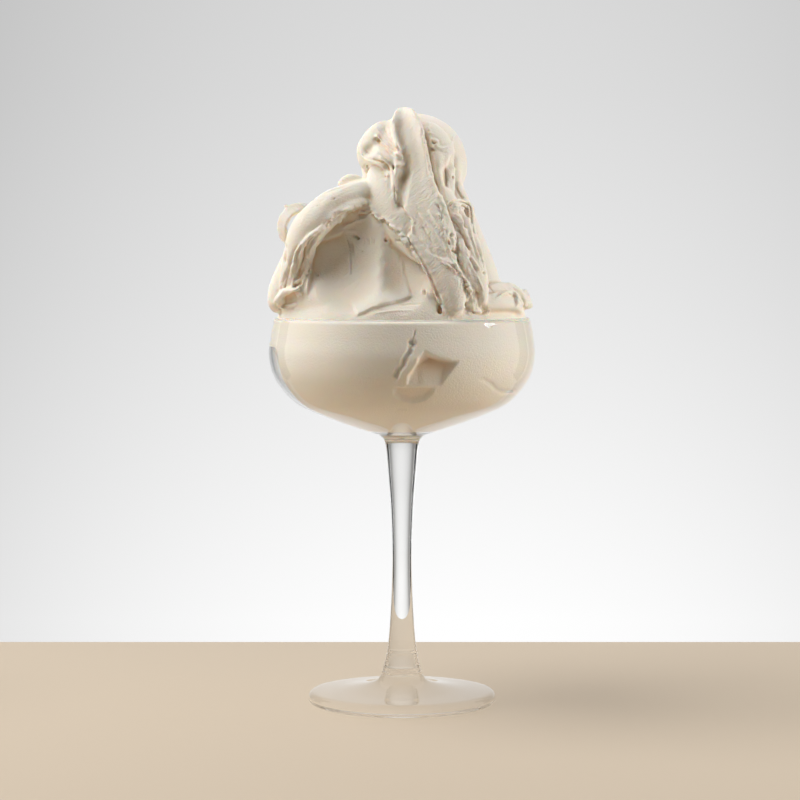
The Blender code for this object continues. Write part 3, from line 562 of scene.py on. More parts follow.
fineStrokes = named(strokeNames, [
    # bright right rim of the long stroke
    ([(2.9, 232.7), (5.5, 229.2), (6.9, 226.3), (7.8, 223.5), (8.4, 221.2), (8.9, 218.5), (9.5, 215.4),
      (10.4, 211.1), (11.3, 205.6), (12.9, 201.4), (14.8, 197.5)], 0.8, 0.8, 0.1, 0.04),
    # hood's strands
    ([(-30.4, 187.4), (-34.3, 184.6), (-36.8, 182.3), (-39.8, 178.8), (-41.4, 175.3), (-42.7, 169.9),
      (-43.7, 164.4)], 0.75, 0.8, 0.2, 0.08),
    ([(-30, 187), (-33.6, 184.1), (-35.9, 181.1), (-37.2, 177.6), (-37.1, 174.9)], 0.6, 0.75, 0.2, 0.08),
    ([(-29.7, 186.6), (-32.8, 183.5), (-34.9, 180), (-36.1, 176.9), (-36.4, 174.1)], 0.6, 0.8, 0.2, 0.08),
    ([(-31.6, 186.2), (-35.1, 183.5), (-37.9, 180), (-39.4, 176.1), (-40.6, 171.4), (-42.1, 166.4)], 0.6,
      0.7, 0.2, 0.08),
    ([(-41.4, 174.9), (-41.6, 171.4), (-42.3, 167.1), (-42.9, 163.2)], 0.5, 0.6, 0.3, 0.1),
    # crevices among them
    ([(-37.5, 180), (-38.1, 175.3), (-39.5, 170.6), (-40.6, 167.1)], 0.6, -1.3, 0.2, 0.2),
    ([(-38.6, 180.4), (-40.6, 176.5), (-41.8, 172.2)], 0.5, -0.9, 0.2, 0.15),
    ([(-34.7, 183.5), (-36.4, 180.8), (-37.1, 177.6)], 0.4, -0.7, 0.2, 0.15),
    ([(-33.2, 183.3), (-35.4, 180.4), (-36.4, 177.3)], 0.4, -0.7, 0.2, 0.15),
    ([(-45.1, 169.5), (-46.2, 165.6), (-47.8, 161.7)], 0.6, -0.6, 0.3, 0.15),
    ([(-44.1, 171.4), (-44.7, 167.1), (-46, 162.5)], 0.5, -0.6, 0.3, 0.15),
    ([(-45.5, 180.4), (-45.4, 176.1), (-46.1, 172.2)], 0.7, -0.8, 0.3, 0.2),
    # torn groove under the hood's ridge
    ([(-11.7, 194.4), (-16.4, 193.2), (-20.3, 191.6), (-23.8, 190.1), (-27.3, 188.1), (-29.3, 186.6)], 1,
      -1.7, 0.6, 0.1),
    ([(-11.7, 192.8), (-14.8, 191.6), (-17.9, 190.9)], 0.8, -1.2, 0.5, 0.15),
    ([(-12.9, 193.4), (-15.6, 192.8), (-17.6, 191.6)], 0.5, 0.7, 0.6, 0.15),
    ([(-21.1, 191.1), (-23.4, 189.7), (-25, 187.8)], 0.5, 0.7, 0.6, 0.15),
    ([(-27.3, 189.7), (-28.7, 188.1), (-29.4, 186.6)], 0.5, 0.8, 0.5, 0.15),
    # streaks on the band
    ([(-22.2, 202.1), (-26.5, 201), (-31.2, 199)], 0.45, -0.25, 0.15, 0.3),
    ([(-20.3, 203.7), (-25, 202.5), (-28.9, 201)], 0.45, -0.2, 0.15, 0.3),
    ([(-25.8, 198.1), (-27.5, 197)], 0.45, -0.6, 0.15, 0.3),
    ([(-15.6, 203.7), (-21.1, 202.1), (-25.8, 199.8)], 0.5, 0.18, 0.15, 0.3),
    ([(-17.2, 201.4), (-22.2, 199.8), (-26.5, 197.5)], 0.5, -0.18, 0.15, 0.3),
    # face: groove right of the spike, scratches
    ([(-20.1, 166), (-20.1, 171.4), (-20.3, 177.3), (-21.1, 181.1), (-22.5, 184.5)], 0.8, 1.15, 0.08, 0.35,
      {"kind": "fold", "sink": 0.5}),
    ([(-19.9, 182.3), (-18.9, 178.8), (-18.7, 174.5)], 1, -0.5, 0.15, 0.35),
    ([(-19.1, 183.5), (-17.6, 182.9), (-16.8, 181.5)], 1, -1.1, 0.4, 0.25),
    ([(-15.2, 183.1), (-14.8, 180.8), (-15.1, 178.8)], 0.4, 0.35, 0.3, 0.3),
    ([(-14, 182.7), (-13.9, 180.4)], 0.4, 0.3, 0.3, 0.3),
    ([(-12.1, 182.9), (-11.9, 179.7)], 0.4, 0.4, 0.3, 0.3),
    ([(-10.7, 182.3), (-10.8, 179.6)], 0.4, -0.35, 0.3, 0.3),
    ([(-12.9, 182.3), (-12.7, 179.2)], 0.4, -0.3, 0.3, 0.3),
    ([(-28.1, 162.1), (-23.4, 166.7), (-17.9, 170.6), (-11.7, 174.5)], 0.6, 0.12, 0.15, 0.35),
    ([(-25.8, 159.7), (-20.3, 164.4), (-14, 168.3)], 0.6, -0.12, 0.15, 0.35),
    # pits
    ([(-6.6, 182.5), (-6.2, 180.5)], 0.95, -1.6, 0.3, 0.5),
    ([(-5.5, 182.7), (-5.3, 180.4)], 0.5, 0.5, 0.3, 0.5),
    ([(-17.2, 183.1), (-16.9, 181.7)], 0.6, -1.3, 0.15, 0.5),
    ([(-32.9, 168.5), (-32.5, 167.4)], 0.6, -1.1, 0.15, 0.5),
    ([(-32.2, 168.8), (-32, 167.5)], 0.4, 0.4, 0.15, 0.5),
    ([(-15.5, 177.7), (-15.2, 177.1)], 0.5, -0.9, 0.15, 0.5),
    ([(-34.7, 197.3), (-34.3, 196.8)], 0.6, -0.9, 0.15, 0.5),
    ([(-33.3, 195.1), (-33, 194.6)], 0.45, -0.8, 0.15, 0.5),
    ([(-13.7, 158.8), (-13.5, 158.6)], 0.35, -0.5, 0.15, 0.5),
    ([(32, 169.5), (32.2, 168.1)], 0.75, -1.6, 0.2, 0.5),
    ([(8.3, 162.6), (8.8, 161.7), (8.7, 160)], 0.6, -1.3, 0.2, 0.4),
    ([(7.7, 162.3), (8.1, 160.3)], 0.45, 0.6, 0.2, 0.4),
    ([(9.4, 161.7), (9.7, 159.7)], 0.5, 0.5, 0.2, 0.4),
    # bulge bottom: bright flakes, slits
    ([(-5.5, 188), (-3.5, 186.2), (-2.3, 184.6)], 0.7, 0.8, 0.5, 0.2),
    ([(-6.1, 188.1), (-4.8, 186.4), (-2.9, 185.2)], 0.6, -1.4, 0.3, 0.2),
    ([(-1.6, 184.3), (0.8, 182.1), (3, 179.2)], 0.7, 0.9, 0.4, 0.15),
    ([(-2.9, 181.3), (-1.2, 181.4), (0.4, 181.1)], 0.5, -0.7, 0.3, 0.25),
    ([(4.4, 187.5), (4, 185.4), (4.3, 183.9)], 0.6, 0.7, 0.4, 0.2),
    # long slanting ridges of the long stroke's torn middle
    ([(0.6, 194.6), (2.9, 191.4), (5.1, 187.7)], 0.6, 0.7, 0.3, 0.12),
    ([(-0.5, 195.5), (1.6, 192.2), (3.7, 188.9)], 0.5, -0.7, 0.3, 0.15),
    ([(6.2, 192.6), (8.6, 189.7), (12.1, 185.6), (15.2, 181), (18.1, 176.1)], 0.5, 0.6, 0.3, 0.1),
    ([(9.8, 193.6), (12.3, 190.2), (15.2, 185.8)], 0.45, 0.45, 0.4, 0.15),
    ([(16, 187), (17.2, 182.3), (18.5, 176.5)], 0.5, 0.6, 0.3, 0.12),
    ([(14, 192), (16, 188.9), (17.2, 185)], 0.5, 0.6, 0.4, 0.15),
    ([(13.7, 195.9), (15.2, 192), (15.6, 188.5)], 0.5, -0.7, 0.4, 0.15),
    ([(7, 187.8), (9.8, 183.9), (12.5, 179.2)], 0.7, -0.5, 0.3, 0.25),
    ([(15.2, 173.5), (18.7, 171), (21.5, 168.3)], 0.5, 0.6, 0.3, 0.15),
    ([(17.2, 173.2), (19.9, 171.3), (22.2, 169.1)], 0.4, -0.6, 0.3, 0.15),
    # the slot at the left of the lower long stroke
    ([(2.3, 181.9), (5.1, 178), (7.3, 174.5), (9.4, 170.8), (10.9, 167.5), (12.9, 163.2), (13.8, 160.5),
      (15.1, 157.8), (15.6, 155.1)], 0.9, -1, 0.12, 0.12),
    ([(1, 182.3), (3.5, 178.8), (5.5, 175.3), (7.4, 171.8)], 0.6, 0.7, 0.3, 0.15),
    # deep warm crevices
    ([(21.6, 193), (23.6, 191.6), (24.6, 188.9), (24.7, 185.8)], 0.85, -1.9, 0.2, 0.2),
    ([(21.2, 186), (24, 183.3), (25.6, 179.3), (26.7, 176.9)], 0.8, -1.5, 0.2, 0.2),
    ([(18.5, 184.4), (19.8, 182.8)], 0.8, -1.8, 0.2, 0.4),
    ([(19.1, 178.2), (21.1, 176.2)], 0.7, -1.8, 0.2, 0.35),
    ([(17.4, 181.5), (19, 179.2)], 0.6, -1.3, 0.2, 0.35),
    ([(21.5, 175.3), (22.6, 172.6)], 0.5, -0.9, 0.2, 0.3),
    # strands wrapped over the top of the torn part
    ([(17.6, 194.8), (19.5, 196.3), (22.2, 196.9), (25.2, 196.2), (26.9, 194), (27.5, 190.1), (28.1, 185),
      (29.5, 179.2), (31.2, 173), (32, 169.9)], 0.6, 1, 0.15, 0.06),
    ([(18.7, 194), (20.7, 195.3), (23.4, 195.4), (25.6, 193.7), (26.3, 190.5), (26.8, 184.6),
      (28.4, 178.4), (30.4, 173)], 0.5, 0.9, 0.15, 0.08),
    ([(19.1, 192.8), (21.1, 194.1), (23.4, 193.8), (25.2, 191.6), (25.8, 187), (26.9, 181.5)], 0.45, 0.8,
      0.15, 0.1),
    ([(18.2, 195.4), (21.1, 196.2), (24.4, 195.8), (26.3, 193.7), (26.9, 190.1), (27.5, 185)], 0.35, -0.7,
      0.15, 0.1),
    ([(19.4, 191.4), (21.9, 188.9), (24.2, 185.2), (26, 181.5)], 0.45, 0.8, 0.2, 0.12),
    ([(19, 190.2), (21.5, 187.5), (23.6, 184.3)], 0.4, -0.8, 0.2, 0.15),
    ([(20.1, 191.9), (22.6, 189.7), (24.2, 186.6)], 0.35, 0.6, 0.2, 0.15),
    ([(26.8, 175.3), (28.5, 172.6), (30.4, 169.5)], 0.5, 0.7, 0.2, 0.12),
    ([(26.1, 174.9), (27.7, 171.8), (29.3, 168.7)], 0.4, -0.7, 0.2, 0.15),
    ([(29, 178.8), (30.7, 174.3), (31.9, 170.2)], 0.4, -0.9, 0.1, 0.12),
    ([(29.3, 167.9), (30.4, 164.8), (32, 161.3)], 0.5, 0.6, 0.2, 0.2),
    ([(32.8, 164.8), (34.3, 163), (36.1, 160.8)], 0.35, -0.55, 0.2, 0.2),
    # wing: between the lips, short slits
    ([(-11.7, 213.2), (-8.6, 212.3), (-6.1, 210.6), (-4.7, 208)], 0.6, -1, 0.1, 0.15),
    ([(-9.8, 215.8), (-7.4, 214.4), (-5.1, 212.4)], 0.5, -0.5, 0.2, 0.2),
    ([(-10.9, 221.2), (-9.6, 220.7), (-8.4, 219.1)], 0.8, -0.6, 0.2, 0.3),
    ([(-7.3, 225.9), (-5.9, 222.8), (-3.7, 218.9)], 0.4, -0.35, 0.2, 0.2),
    ([(-10, 224.7), (-7.8, 222), (-5.1, 218.5)], 0.5, 0.35, 0.2, 0.2),
    ([(-2.9, 202.9), (-2.8, 199), (-2.3, 195.1)], 0.5, -0.9, 0.1, 0.15),
    # torn ball under the wing's left end
    ([(-14.6, 209.3), (-13.9, 208.4), (-12.9, 209.1)], 0.7, 1.1, 0.4, 0.2),
    ([(-14.3, 210.2), (-13.3, 209.9)], 0.6, -1.3, 0.2, 0.4),
    # head: pits under the curl, small folds
    ([(11.2, 217.7), (11.7, 216.5), (12.7, 216)], 0.8, -1.6, 0.3, 0.25),
    ([(11.7, 219.7), (13.3, 219.1)], 0.6, -1.2, 0.3, 0.35),
    ([(11.2, 221), (12.3, 220), (13.7, 219.7)], 0.5, 0.8, 0.4, 0.25),
    ([(12.3, 218.7), (14, 218.3)], 0.5, 0.7, 0.4, 0.3),
    ([(15.1, 216.5), (16.8, 216), (18.3, 216.9)], 0.5, 0.35, 0.2, 0.25),
    ([(16.9, 210.3), (17.1, 206.4), (17.7, 202.5)], 0.5, -0.7, 0.2, 0.2),
    ([(19.7, 206.7), (20, 205.1)], 0.5, -1, 0.2, 0.35),
    ([(17.6, 204.5), (18.2, 201.8)], 0.5, 0.7, 0.3, 0.25),
    ([(11.1, 211.5), (11.5, 208), (12.9, 204.5)], 0.5, 0.5, 0.4, 0.15),
    ([(11.7, 208.8), (12.9, 204.9), (14.7, 201)], 0.4, -0.6, 0.4, 0.15),
    ([(21.1, 202.5), (22.2, 199.8), (24.2, 197.5)], 0.6, -0.8, 0.2, 0.2),
    # curl at the rim: shade inside, and the lower smear
    ([(-46.4, 157.4), (-44.1, 159.1), (-41, 160.1)], 1.5, -1.9, 0.2, 0.25),
    ([(-39.6, 162.5), (-39.2, 159.7)], 0.5, 0.8, 0.2, 0.25),
    # lines under the bottom lip, along the rim
    ([(-11.7, 153), (-3.9, 153.9), (4.7, 154.3)], 0.5, 0.3, 0.2, 0.2),
    ([(-2.3, 155.9), (3.1, 156.6), (8.6, 156.6)], 0.6, -0.3, 0.2, 0.25),
    # notch at the foot of the lower long stroke
    ([(15.1, 157), (14.8, 155.1), (14.8, 152.6)], 1, -1.8, 0.2, 0.25),
    ([(20.3, 153.1), (23.8, 155.1), (26.5, 156.6)], 0.5, 0.5, 0.3, 0.2),
    ([(25, 152.7), (28.1, 153.9), (31.2, 153.5)], 0.5, 0.6, 0.5, 0.2),
    ([(26.5, 154.3), (28.9, 152.9), (32.8, 153.1)], 0.5, -0.7, 0.5, 0.2),
])
ribbons = named(ribbonNames, [
    ([(-48.8, 155.9), (-48.4, 158.2), (-46.8, 160.4), (-44.5, 161.7), (-41.8, 162.1), (-39.8, 163.2)], 0.8,
      0.7, 0.9),
    ([(-40.7, 157), (-43.7, 155.9), (-47.2, 155.1)], 0.9, 0.6, 0.5),
    ([(-36.7, 173.4), (-37.5, 169.5), (-39.8, 166.5), (-42.1, 164.6)], 0.8, 0.6, 0.6),
    ([(-30.6, 187.4), (-34.3, 184.6), (-37.5, 181.5), (-40.2, 177.6), (-41.8, 173), (-42.9, 167.5)], 0.7,
      0.6, 0.5),
    ([(-30, 186.8), (-33.2, 183.9), (-35.5, 180.4), (-36.5, 176.1)], 0.55, 0.5, 0.45),
    ([(-31.6, 186.2), (-35.5, 183.1), (-38.2, 179.2), (-39.8, 174.5)], 0.55, 0.5, 0.4),
    ([(-12.1, 196.3), (-17.2, 195.1), (-21.5, 193.6), (-25.4, 192), (-28.1, 190.1)], 0.7, 0.6, 0.5),
    ([(-9, 214.4), (-7, 212.7), (-5.3, 210.9), (-4.1, 208.4), (-3.4, 204.9), (-3, 200.2), (-2.5, 195.5)],
      0.55, 0.6, 0.7),
    ([(-16, 215), (-13.7, 212.7), (-10.5, 211.6), (-8, 210.6), (-6.4, 208.8), (-5.6, 206.4)], 0.6, 0.6,
      0.7),
    ([(17.6, 194.8), (19.5, 196.3), (22.2, 196.9), (25.2, 196.2), (26.9, 194), (27.5, 190.1), (28.1, 185),
      (29.5, 179.2), (31.2, 173)], 0.6, 0.6, 0.5),
    ([(18.7, 193.6), (20.7, 195.1), (23.4, 195.2), (25.5, 193.4), (26.2, 190.1), (26.9, 184.3),
      (28.5, 178.4)], 0.5, 0.5, 0.5),
    ([(19.5, 192), (22.2, 189.3), (24.6, 185.4), (26.5, 180.4), (28.1, 175.3)], 0.5, 0.5, 0.4),
    ([(16, 173.4), (19.5, 171.7), (22.2, 169.7), (24, 166.1), (25.8, 164.2), (26.5, 162.1), (26.1, 159)],
      0.7, 0.6, 0.5),
    ([(-5.1, 187.8), (-2.7, 185.7), (0, 183.5), (2.3, 180.9)], 0.7, 0.6, 0.4),
    ([(38.2, 168.7), (40.6, 166.7), (43.3, 165.6), (46, 164.4)], 0.9, 0.6, 0.4),
    ([(45.3, 164.4), (48, 162.6), (49.9, 159.7), (49.6, 157)], 0.9, 0.6, 0.4),
    ([(43.3, 163.2), (46, 161.3), (48, 158.2), (47.6, 155.1)], 0.9, 0.6, 0.4),
    ([(38.2, 160.1), (41.8, 161.5), (44.1, 160.9), (44.9, 158.2), (44.5, 155.5)], 0.8, 0.6, 0.4),
    ([(-0.9, 215), (-2.3, 218.9), (-3.7, 223.9), (-4.1, 228.2)], 0.7, 0.7, 0.5),
])
tornBands = named(bandNames, [
    ([(-11.7, 195.1), (-17.2, 194), (-21.9, 192), (-25.8, 190.1), (-29.3, 187.4)], 1.8, 0.75, 3.2, 1.3),
    ([(-32.8, 184.6), (-36.7, 180.4), (-39, 175.3), (-41, 169.9), (-42.9, 164.4)], 2.9, 0.6, 9, 0.75),
    ([(-43.7, 173), (-45.3, 167.9), (-46.8, 162.1)], 2.4, 0.9, 7, 0.5),
    ([(13.3, 198.6), (16.4, 192.4), (18.7, 184.6), (21.5, 176.9), (24.2, 169.1), (25.8, 161.3)], 4.4, 0.8,
      4.6, 0.62),
    ([(17.9, 197.1), (21.1, 190.9), (24.2, 183.1), (27.3, 175.3), (30.4, 168.3)], 3.4, 0.75, 9, 0.45),
    ([(2.3, 194.8), (7, 188.5), (11.7, 180.8), (16.4, 174.5)], 4.6, 0.75, 6, 0.45),
    ([(9, 226.7), (10.9, 220.4), (11.7, 215.8), (12.5, 211.1)], 1.6, 0.9, 3.6, 0.35),
    ([(11.3, 210.3), (13.3, 204.1), (16.4, 197.1)], 1.8, 0.7, 6, 0.5),
    ([(-11.7, 192), (-7, 188.9), (-2.3, 185), (2.3, 180.8), (5.1, 176.5)], 1.3, 0.8, 2.2, 0.9),
    ([(26.5, 166), (29.7, 160.5), (31.2, 152.7)], 3.2, 0.9, 6, 0.6),
    ([(25, 152.7), (29.7, 154.3), (34.3, 152.7)], 1.8, 0.7, 2.6, 0.9),
    ([(39.8, 166), (43.3, 163.2), (47.2, 159.7), (49.6, 155.9)], 3.6, 1.4, 6, 0.7),
    ([(-48.4, 158.2), (-44.5, 160.5), (-39.8, 162.9)], 2, 0.9, 4, 0.5),
    ([(-49.2, 154.7), (-44.5, 155.1), (-39.8, 153.9)], 1.3, 0.7, 4, 0.5),
    ([(15.6, 173), (19.5, 170.6), (23.4, 166.7), (25.8, 162.9), (26.5, 156.6)], 1.4, 0.7, 2, 1),
    ([(-15.6, 216.5), (-11.7, 213.4), (-7, 210.7), (-3.9, 205.6)], 2.2, 0.8, 7, 0.45),
    ([(-10.1, 223.5), (-6.2, 219.7), (-0.8, 214.2)], 3.6, 0.9, 9, 0.35),
    ([(-20.3, 204.9), (-25.8, 202.5), (-31.2, 199), (-36.7, 193.2), (-39.8, 187)], 6, 1.2, 26, 0.12),
])

# Strokes round the back and sides: angle from +X in degrees and height
backStrokes = named(strokeNames, [
    ([(122, 160), (107, 178), (90, 196), (72, 214)], 2, -1.4, 0.15, 0.2),
    ([(131, 160), (117, 176), (100, 194), (84, 212)], 1.2, 0.9, 0.15, 0.2),
    ([(138, 160), (126, 174), (112, 190)], 2.2, -1.4, 0.15, 0.2),
    ([(46, 160), (56, 174), (56, 190), (48, 204)], 2, -1.4, 0.15, 0.2),
    ([(39, 160), (46, 174), (46, 190), (38, 206)], 1.1, 0.8, 0.15, 0.2),
    ([(30, 160), (36, 174), (36, 192), (28, 208)], 2, -1.4, 0.15, 0.2),
    ([(64, 156), (77, 168), (88, 178)], 3.4, 1.8, 0.4, 0.2, {"kind": "fold"}),
    ([(0, 160), (8, 176), (16, 194)], 3.2, -1.5, 0.15, 0.2),
    ([(-14, 160), (-6, 176), (4, 196)], 2.4, -1.2, 0.15, 0.2),
    ([(150, 158), (165, 168), (182, 172)], 2.6, -1.4, 0.15, 0.2),
    ([(160, 186), (178, 194), (195, 196)], 3, 1.6, 0.4, 0.2, {"kind": "fold"}),
    ([(146, 176), (166, 184), (186, 186)], 1.6, -0.9, 0.15, 0.2),
    ([(140, 192), (150, 198), (165, 202)], 1.8, 0.9, 0.15, 0.2),
])
backBands = named(bandNames, [
    ([(62, 156), (76, 168), (92, 180)], 4.5, 0.9, 6, 1.1),
    ([(143, 174), (164, 182), (190, 186)], 4, 0.9, 7, 0.9),
    ([(36, 208), (58, 216), (86, 222)], 3.5, 0.9, 5, 0.9),
    ([(-4, 162), (8, 180), (20, 202)], 4, 0.9, 9, 0.7),
    ([(128, 158), (112, 178), (94, 198)], 3, 0.9, 10, 0.7),
    ([(52, 160), (62, 178), (60, 196)], 3, 0.9, 9, 0.7),
    ([(16, 156), (66, 154.5), (118, 154.5), (176, 155)], 3, 1, 5, 1),
])


def roundPaths(strokes):
    return [dict(s, path=[(math.radians(a) * roundReach, z) for a, z in s["path"]]) for s in strokes]


def layRibbons(bm, piece, seed):
    # thin strips laid on the surface, where the eye sees them
    draw = random.Random(seed)
    tree = BVHTree.FromObject(piece, bpy.context.evaluated_depsgraph_get())
    start = Vector((0, -eye["distance"], eye["height"])) / 1000
    for ribbon in ribbons:
        spots = []
        outward = Vector((0, -0.01, 0))
        for u, v in smoothCurve(ribbon["path"], 24):
            place, normal, *rest = tree.ray_cast(start, Vector((u, 0, v)) / 1000 - start)
            if place is not None:
                spots.append(tuple(place * 1000))
                outward += normal
        if len(spots) < 12:
            print("a ribbon misses the heap")
            continue
        outward.normalize()
        line = np.array(spots)
        for again in range(4):
            line[1:-1] = line[:-2] * 0.25 + line[1:-1] * 0.5 + line[2:] * 0.25
        line += np.array(outward) * ribbon["proud"] * 0.6
        widths = [ribbon["width"] * draw.uniform(0.75, 1.25) for knot in range(9)]
        depths = [ribbon["thick"] * draw.uniform(0.85, 1.2) for knot in range(9)]
        sweep(bm, line, widths, depths, tuple(outward))


heapSize = {
    "form": 0.6,     # mesh spacing for forms and folds
    "detail": 0.43,  # and for fine strokes
    "triangles": 196000,
    "bottom": 146.5,                       # where the heap ends inside the fill
    "front": -51.8,                        # how far it may come forward
    "intoWall": 0.25,                      # reach into the glass wall
    "face": ((-34, -72, 194), (50, 49, 55)),   # middle and radii of the hollow under the hood
    "scoop": ((1, -76, 190), (28, 47, 46)),    # and of the smaller one on its right
    "uneven": 0.13,
}


def wallRadius(z, depth):
    # radius of the bowl's inner wall at a height
    outline = np.array(innerOutline(depth)[::-1])
    return np.interp(z, outline[:, 1], outline[:, 0])


def keepInGlass(points):
    # below the rim the heap just reaches into the wall, and above it clears the rim
    g = glassSize
    radius = np.hypot(points[:, 0], points[:, 1])
    limit = wallRadius(points[:, 2], g["wall"]) + heapSize["intoWall"]
    over = np.clip((points[:, 2] - g["height"] + 0.5) / 0.9, 0, 1)
    limit = limit + over * 14
    scale = np.minimum(1, limit / np.maximum(radius, 1e-6))
    points[:, :2] *= scale[:, None]
    points[:, 1] = np.maximum(points[:, 1], heapSize["front"])


def cutBelow(piece, height):
    bm = bmesh.new()
    bm.from_mesh(piece.data)
    cut = bmesh.ops.bisect_plane(
        bm, geom=bm.verts[:] + bm.edges[:] + bm.faces[:], plane_co=(0, 0, height / 1000), plane_no=(0, 0, -1),
        clear_outer=True,
    )["geom_cut"]
    bmesh.ops.edgeloop_fill(bm, edges=[e for e in cut if isinstance(e, bmesh.types.BMEdge)])
    bm.to_mesh(piece.data)
    bm.free()


def cavity(points, normals, edges, rounds):
    # how far each point lies below its smoothed surroundings
    count = len(points)
    degree = np.maximum(np.bincount(edges.ravel(), minlength=count), 1)
    smoothed = points.copy()
    for again in range(rounds):
        for axis in range(3):
            values = smoothed[:, axis]
            total = np.bincount(edges[:, 0], values[edges[:, 1]], count)
            total += np.bincount(edges[:, 1], values[edges[:, 0]], count)
            smoothed[:, axis] = 0.4 * values + 0.6 * total / degree
    return ((smoothed - points) * normals).sum(1)


# where the blade left its cross grain: path, and half widths along it
grainAreas = [
    {"path": [(0.8, 231.3), (2.3, 224.3), (3.9, 218.5), (5.5, 210.7), (7, 201), (10.1, 191.3), (13.3, 181.5),
              (16.4, 173), (19.5, 164), (20.7, 154.3)],
     "halfWidths": [4.2, 4.8, 5, 5.2, 6.2, 7, 7, 6.4, 5.8, 5.4]},
    {"path": [(-9.4, 206.8), (-7.8, 199), (-3.9, 191.3), (1.6, 183.5)], "halfWidths": [4, 5, 5, 4]},
]


def markSurface(piece):
    # writes how deep each point lies in a crevice, which sets the painted shade there, and where the cross
    # grain shows
    points, normals = readPoints(piece.data)
    edges = np.empty(len(piece.data.edges) * 2, np.int32)
    piece.data.edges.foreach_get("vertices", edges)
    depth = cavity(points, normals, edges.reshape(-1, 2), 40)
    u, v, mask, sideways = frontView(points, normals)
    grain = np.zeros(len(points))
    for area in grainAreas:
        signed, along, length = nearPath(u, v, area["path"])
        half = np.interp(along, np.linspace(0, length, len(area["halfWidths"])), area["halfWidths"])
        grain = np.maximum(grain, np.clip((1 - np.abs(signed) / half) * 4, 0, 1) * mask)
    for name, values in (("paintedShadeAndBounce", np.clip(depth / 1.1, 0, 1) ** 1.3), ("grain", 1.6 * grain)):
        layer = piece.data.attributes.new(name, "FLOAT", "POINT")
        layer.data.foreach_set("value", values.astype(np.float32))


def makeHeap():
    bm = bmesh.new()
    coreForms(bm)
    # the concave face under the hood, and the smaller scoop on its right
    press(bm, *heapSize["face"])
    press(bm, *heapSize["scoop"])
    addProudForms(bm)
    heap = objectFrom("gelatoHeap", bm)
    remesh(heap, heapSize["form"], 5)
    cutBelow(heap, heapSize["bottom"])
    points, normals = readPoints(heap.data)
    drawStrokes(points, normals, broadStrokes, frontView(points, normals), seed=100)
    drawStrokes(points, normals, roundPaths(backStrokes), roundView(points, normals), seed=500)
    writePoints(heap.data, points)
    points, normals = readPoints(heap.data)
    drawStrokes(points, normals, foldStrokes, frontView(points, normals), seed=700)
    writePoints(heap.data, points)
    print("heap: forms and folds drawn")

    bm = bmesh.new()
    layRibbons(bm, heap, seed=5)
    bmesh.ops.scale(bm, vec=(0.001, 0.001, 0.001), verts=bm.verts)
    bm.from_mesh(heap.data)
    bm.to_mesh(heap.data)
    bm.free()
    remesh(heap, heapSize["detail"], 1)
    points, normals = readPoints(heap.data)
    view = frontView(points, normals)
    drawStrokes(points, normals, fineStrokes, view, seed=900)
    tearBands(points, normals, tornBands, view, seed=1100)
    tearBands(points, normals, roundPaths(backBands), roundView(points, normals), seed=1300)
    # the slight unevenness of every drawn surface
    away = np.sign(normals[:, 1]) * 40
    uneven = planeNoise((points[:, 0] + away) / 7, points[:, 2] / 7, 61)
    uneven += 0.35 * planeNoise((points[:, 0] + away) / 2.6, points[:, 2] / 2.6, 62)
    points += normals * (heapSize["uneven"] * uneven)[:, None]
    keepInGlass(points)
    writePoints(heap.data, points)
    thin = heap.modifiers.new("Thin", "DECIMATE")
    thin.ratio = min(1, heapSize["triangles"] / (2 * len(heap.data.polygons)))
    applyModifiers(heap)
    heap.data.shade_smooth()
    markSurface(heap)
    print("heap: torn edges drawn,", len(heap.data.polygons), "faces")
    return heap


heap = makeHeap()
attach(heap, "root")
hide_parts("gelato")


# The gelato inside the bowl, pressed against the glass
fillSize = {
    "segments": 480,
    "rings": 118,
    "intoWall": 0.2,         # reach into the glass wall
    "mostIntoWall": 0.55,    # the most that a stroke reaches into it
    "top": 150.4,            # just under the rim
    "frontAngle": -84,       # degrees, where the mesh is finest
    "crowding": 0.45,
    # painted bounce light low in the bowl, and painted shade in the air pocket
    "paintedBounceLow": 0.14,
    "paintedPocketShade": 0.85,
}
# The air pocket and the shallower lobe below it: corners in the axis plane, then how fast each
# deepens from its edges
leafPocket = {
    "corners": [(8.6, 138.4), (22, 134.2), (12.6, 123.2), (6, 124.6), (-3.6, 123.2), (2.4, 131.6)],
    "steepness": [3.2, 1.3, 0.5, 0.5, 1.2, 1.2],
    "depth": 6.2,
    "sag": 0.9,
}
lobePocket = {
    "corners": [(-3.7, 124.2), (13, 124.2), (11.8, 121.4), (8.6, 119), (3.9, 117.9), (-0.8, 119),
                (-3.4, 121.2)],
    "steepness": [2, 1, 0.8, 0.7, 0.7, 0.7, 0.8],
    "depth": 1.2,
    "sag": 0,
}
fillStrokes = named(strokeNames, [
    # the crack above the pocket, its head and the tongue beside it
    ([(5.3, 146.8), (4.6, 144), (3.9, 141.6)], 0.6, -0.9, 0.15, 0.3),
    ([(3, 143.4), (4.2, 141.6), (4.6, 139.6)], 1.7, -2.3, 0.4, 0.4),
    ([(4.2, 141), (2.7, 137.8), (0.6, 133.8), (-1.6, 130.4), (-3.2, 127.6)], 1.6, -1.7, 0.3, 0.15),
    ([(6.6, 136.6), (4, 132.2), (0.4, 127.2), (-2.2, 124)], 2.4, 2.2, 0.15, 0.3),
    # the faint fold on the right
    ([(28.5, 127.8), (33, 126.6), (38, 122.8), (45, 123.4)], 1.2, -0.35, 0.2, 0.2),
    # smears just under the rim
    ([(27, 150.5), (31, 149.2), (35, 147.6)], 0.7, -0.8, 0.5, 0.2),
    ([(31, 149.8), (34.6, 148.6), (37, 148.4)], 0.5, -0.7, 0.5, 0.2),
])
leftGap = {"from": 148, "to": 205, "low": 110.5, "high": 141.5, "depth": 2.3}


def smoothStep(low, high, x):
    t = np.clip((x - low) / (high - low), 0, 1)
    return t * t * (3 - 2 * t)


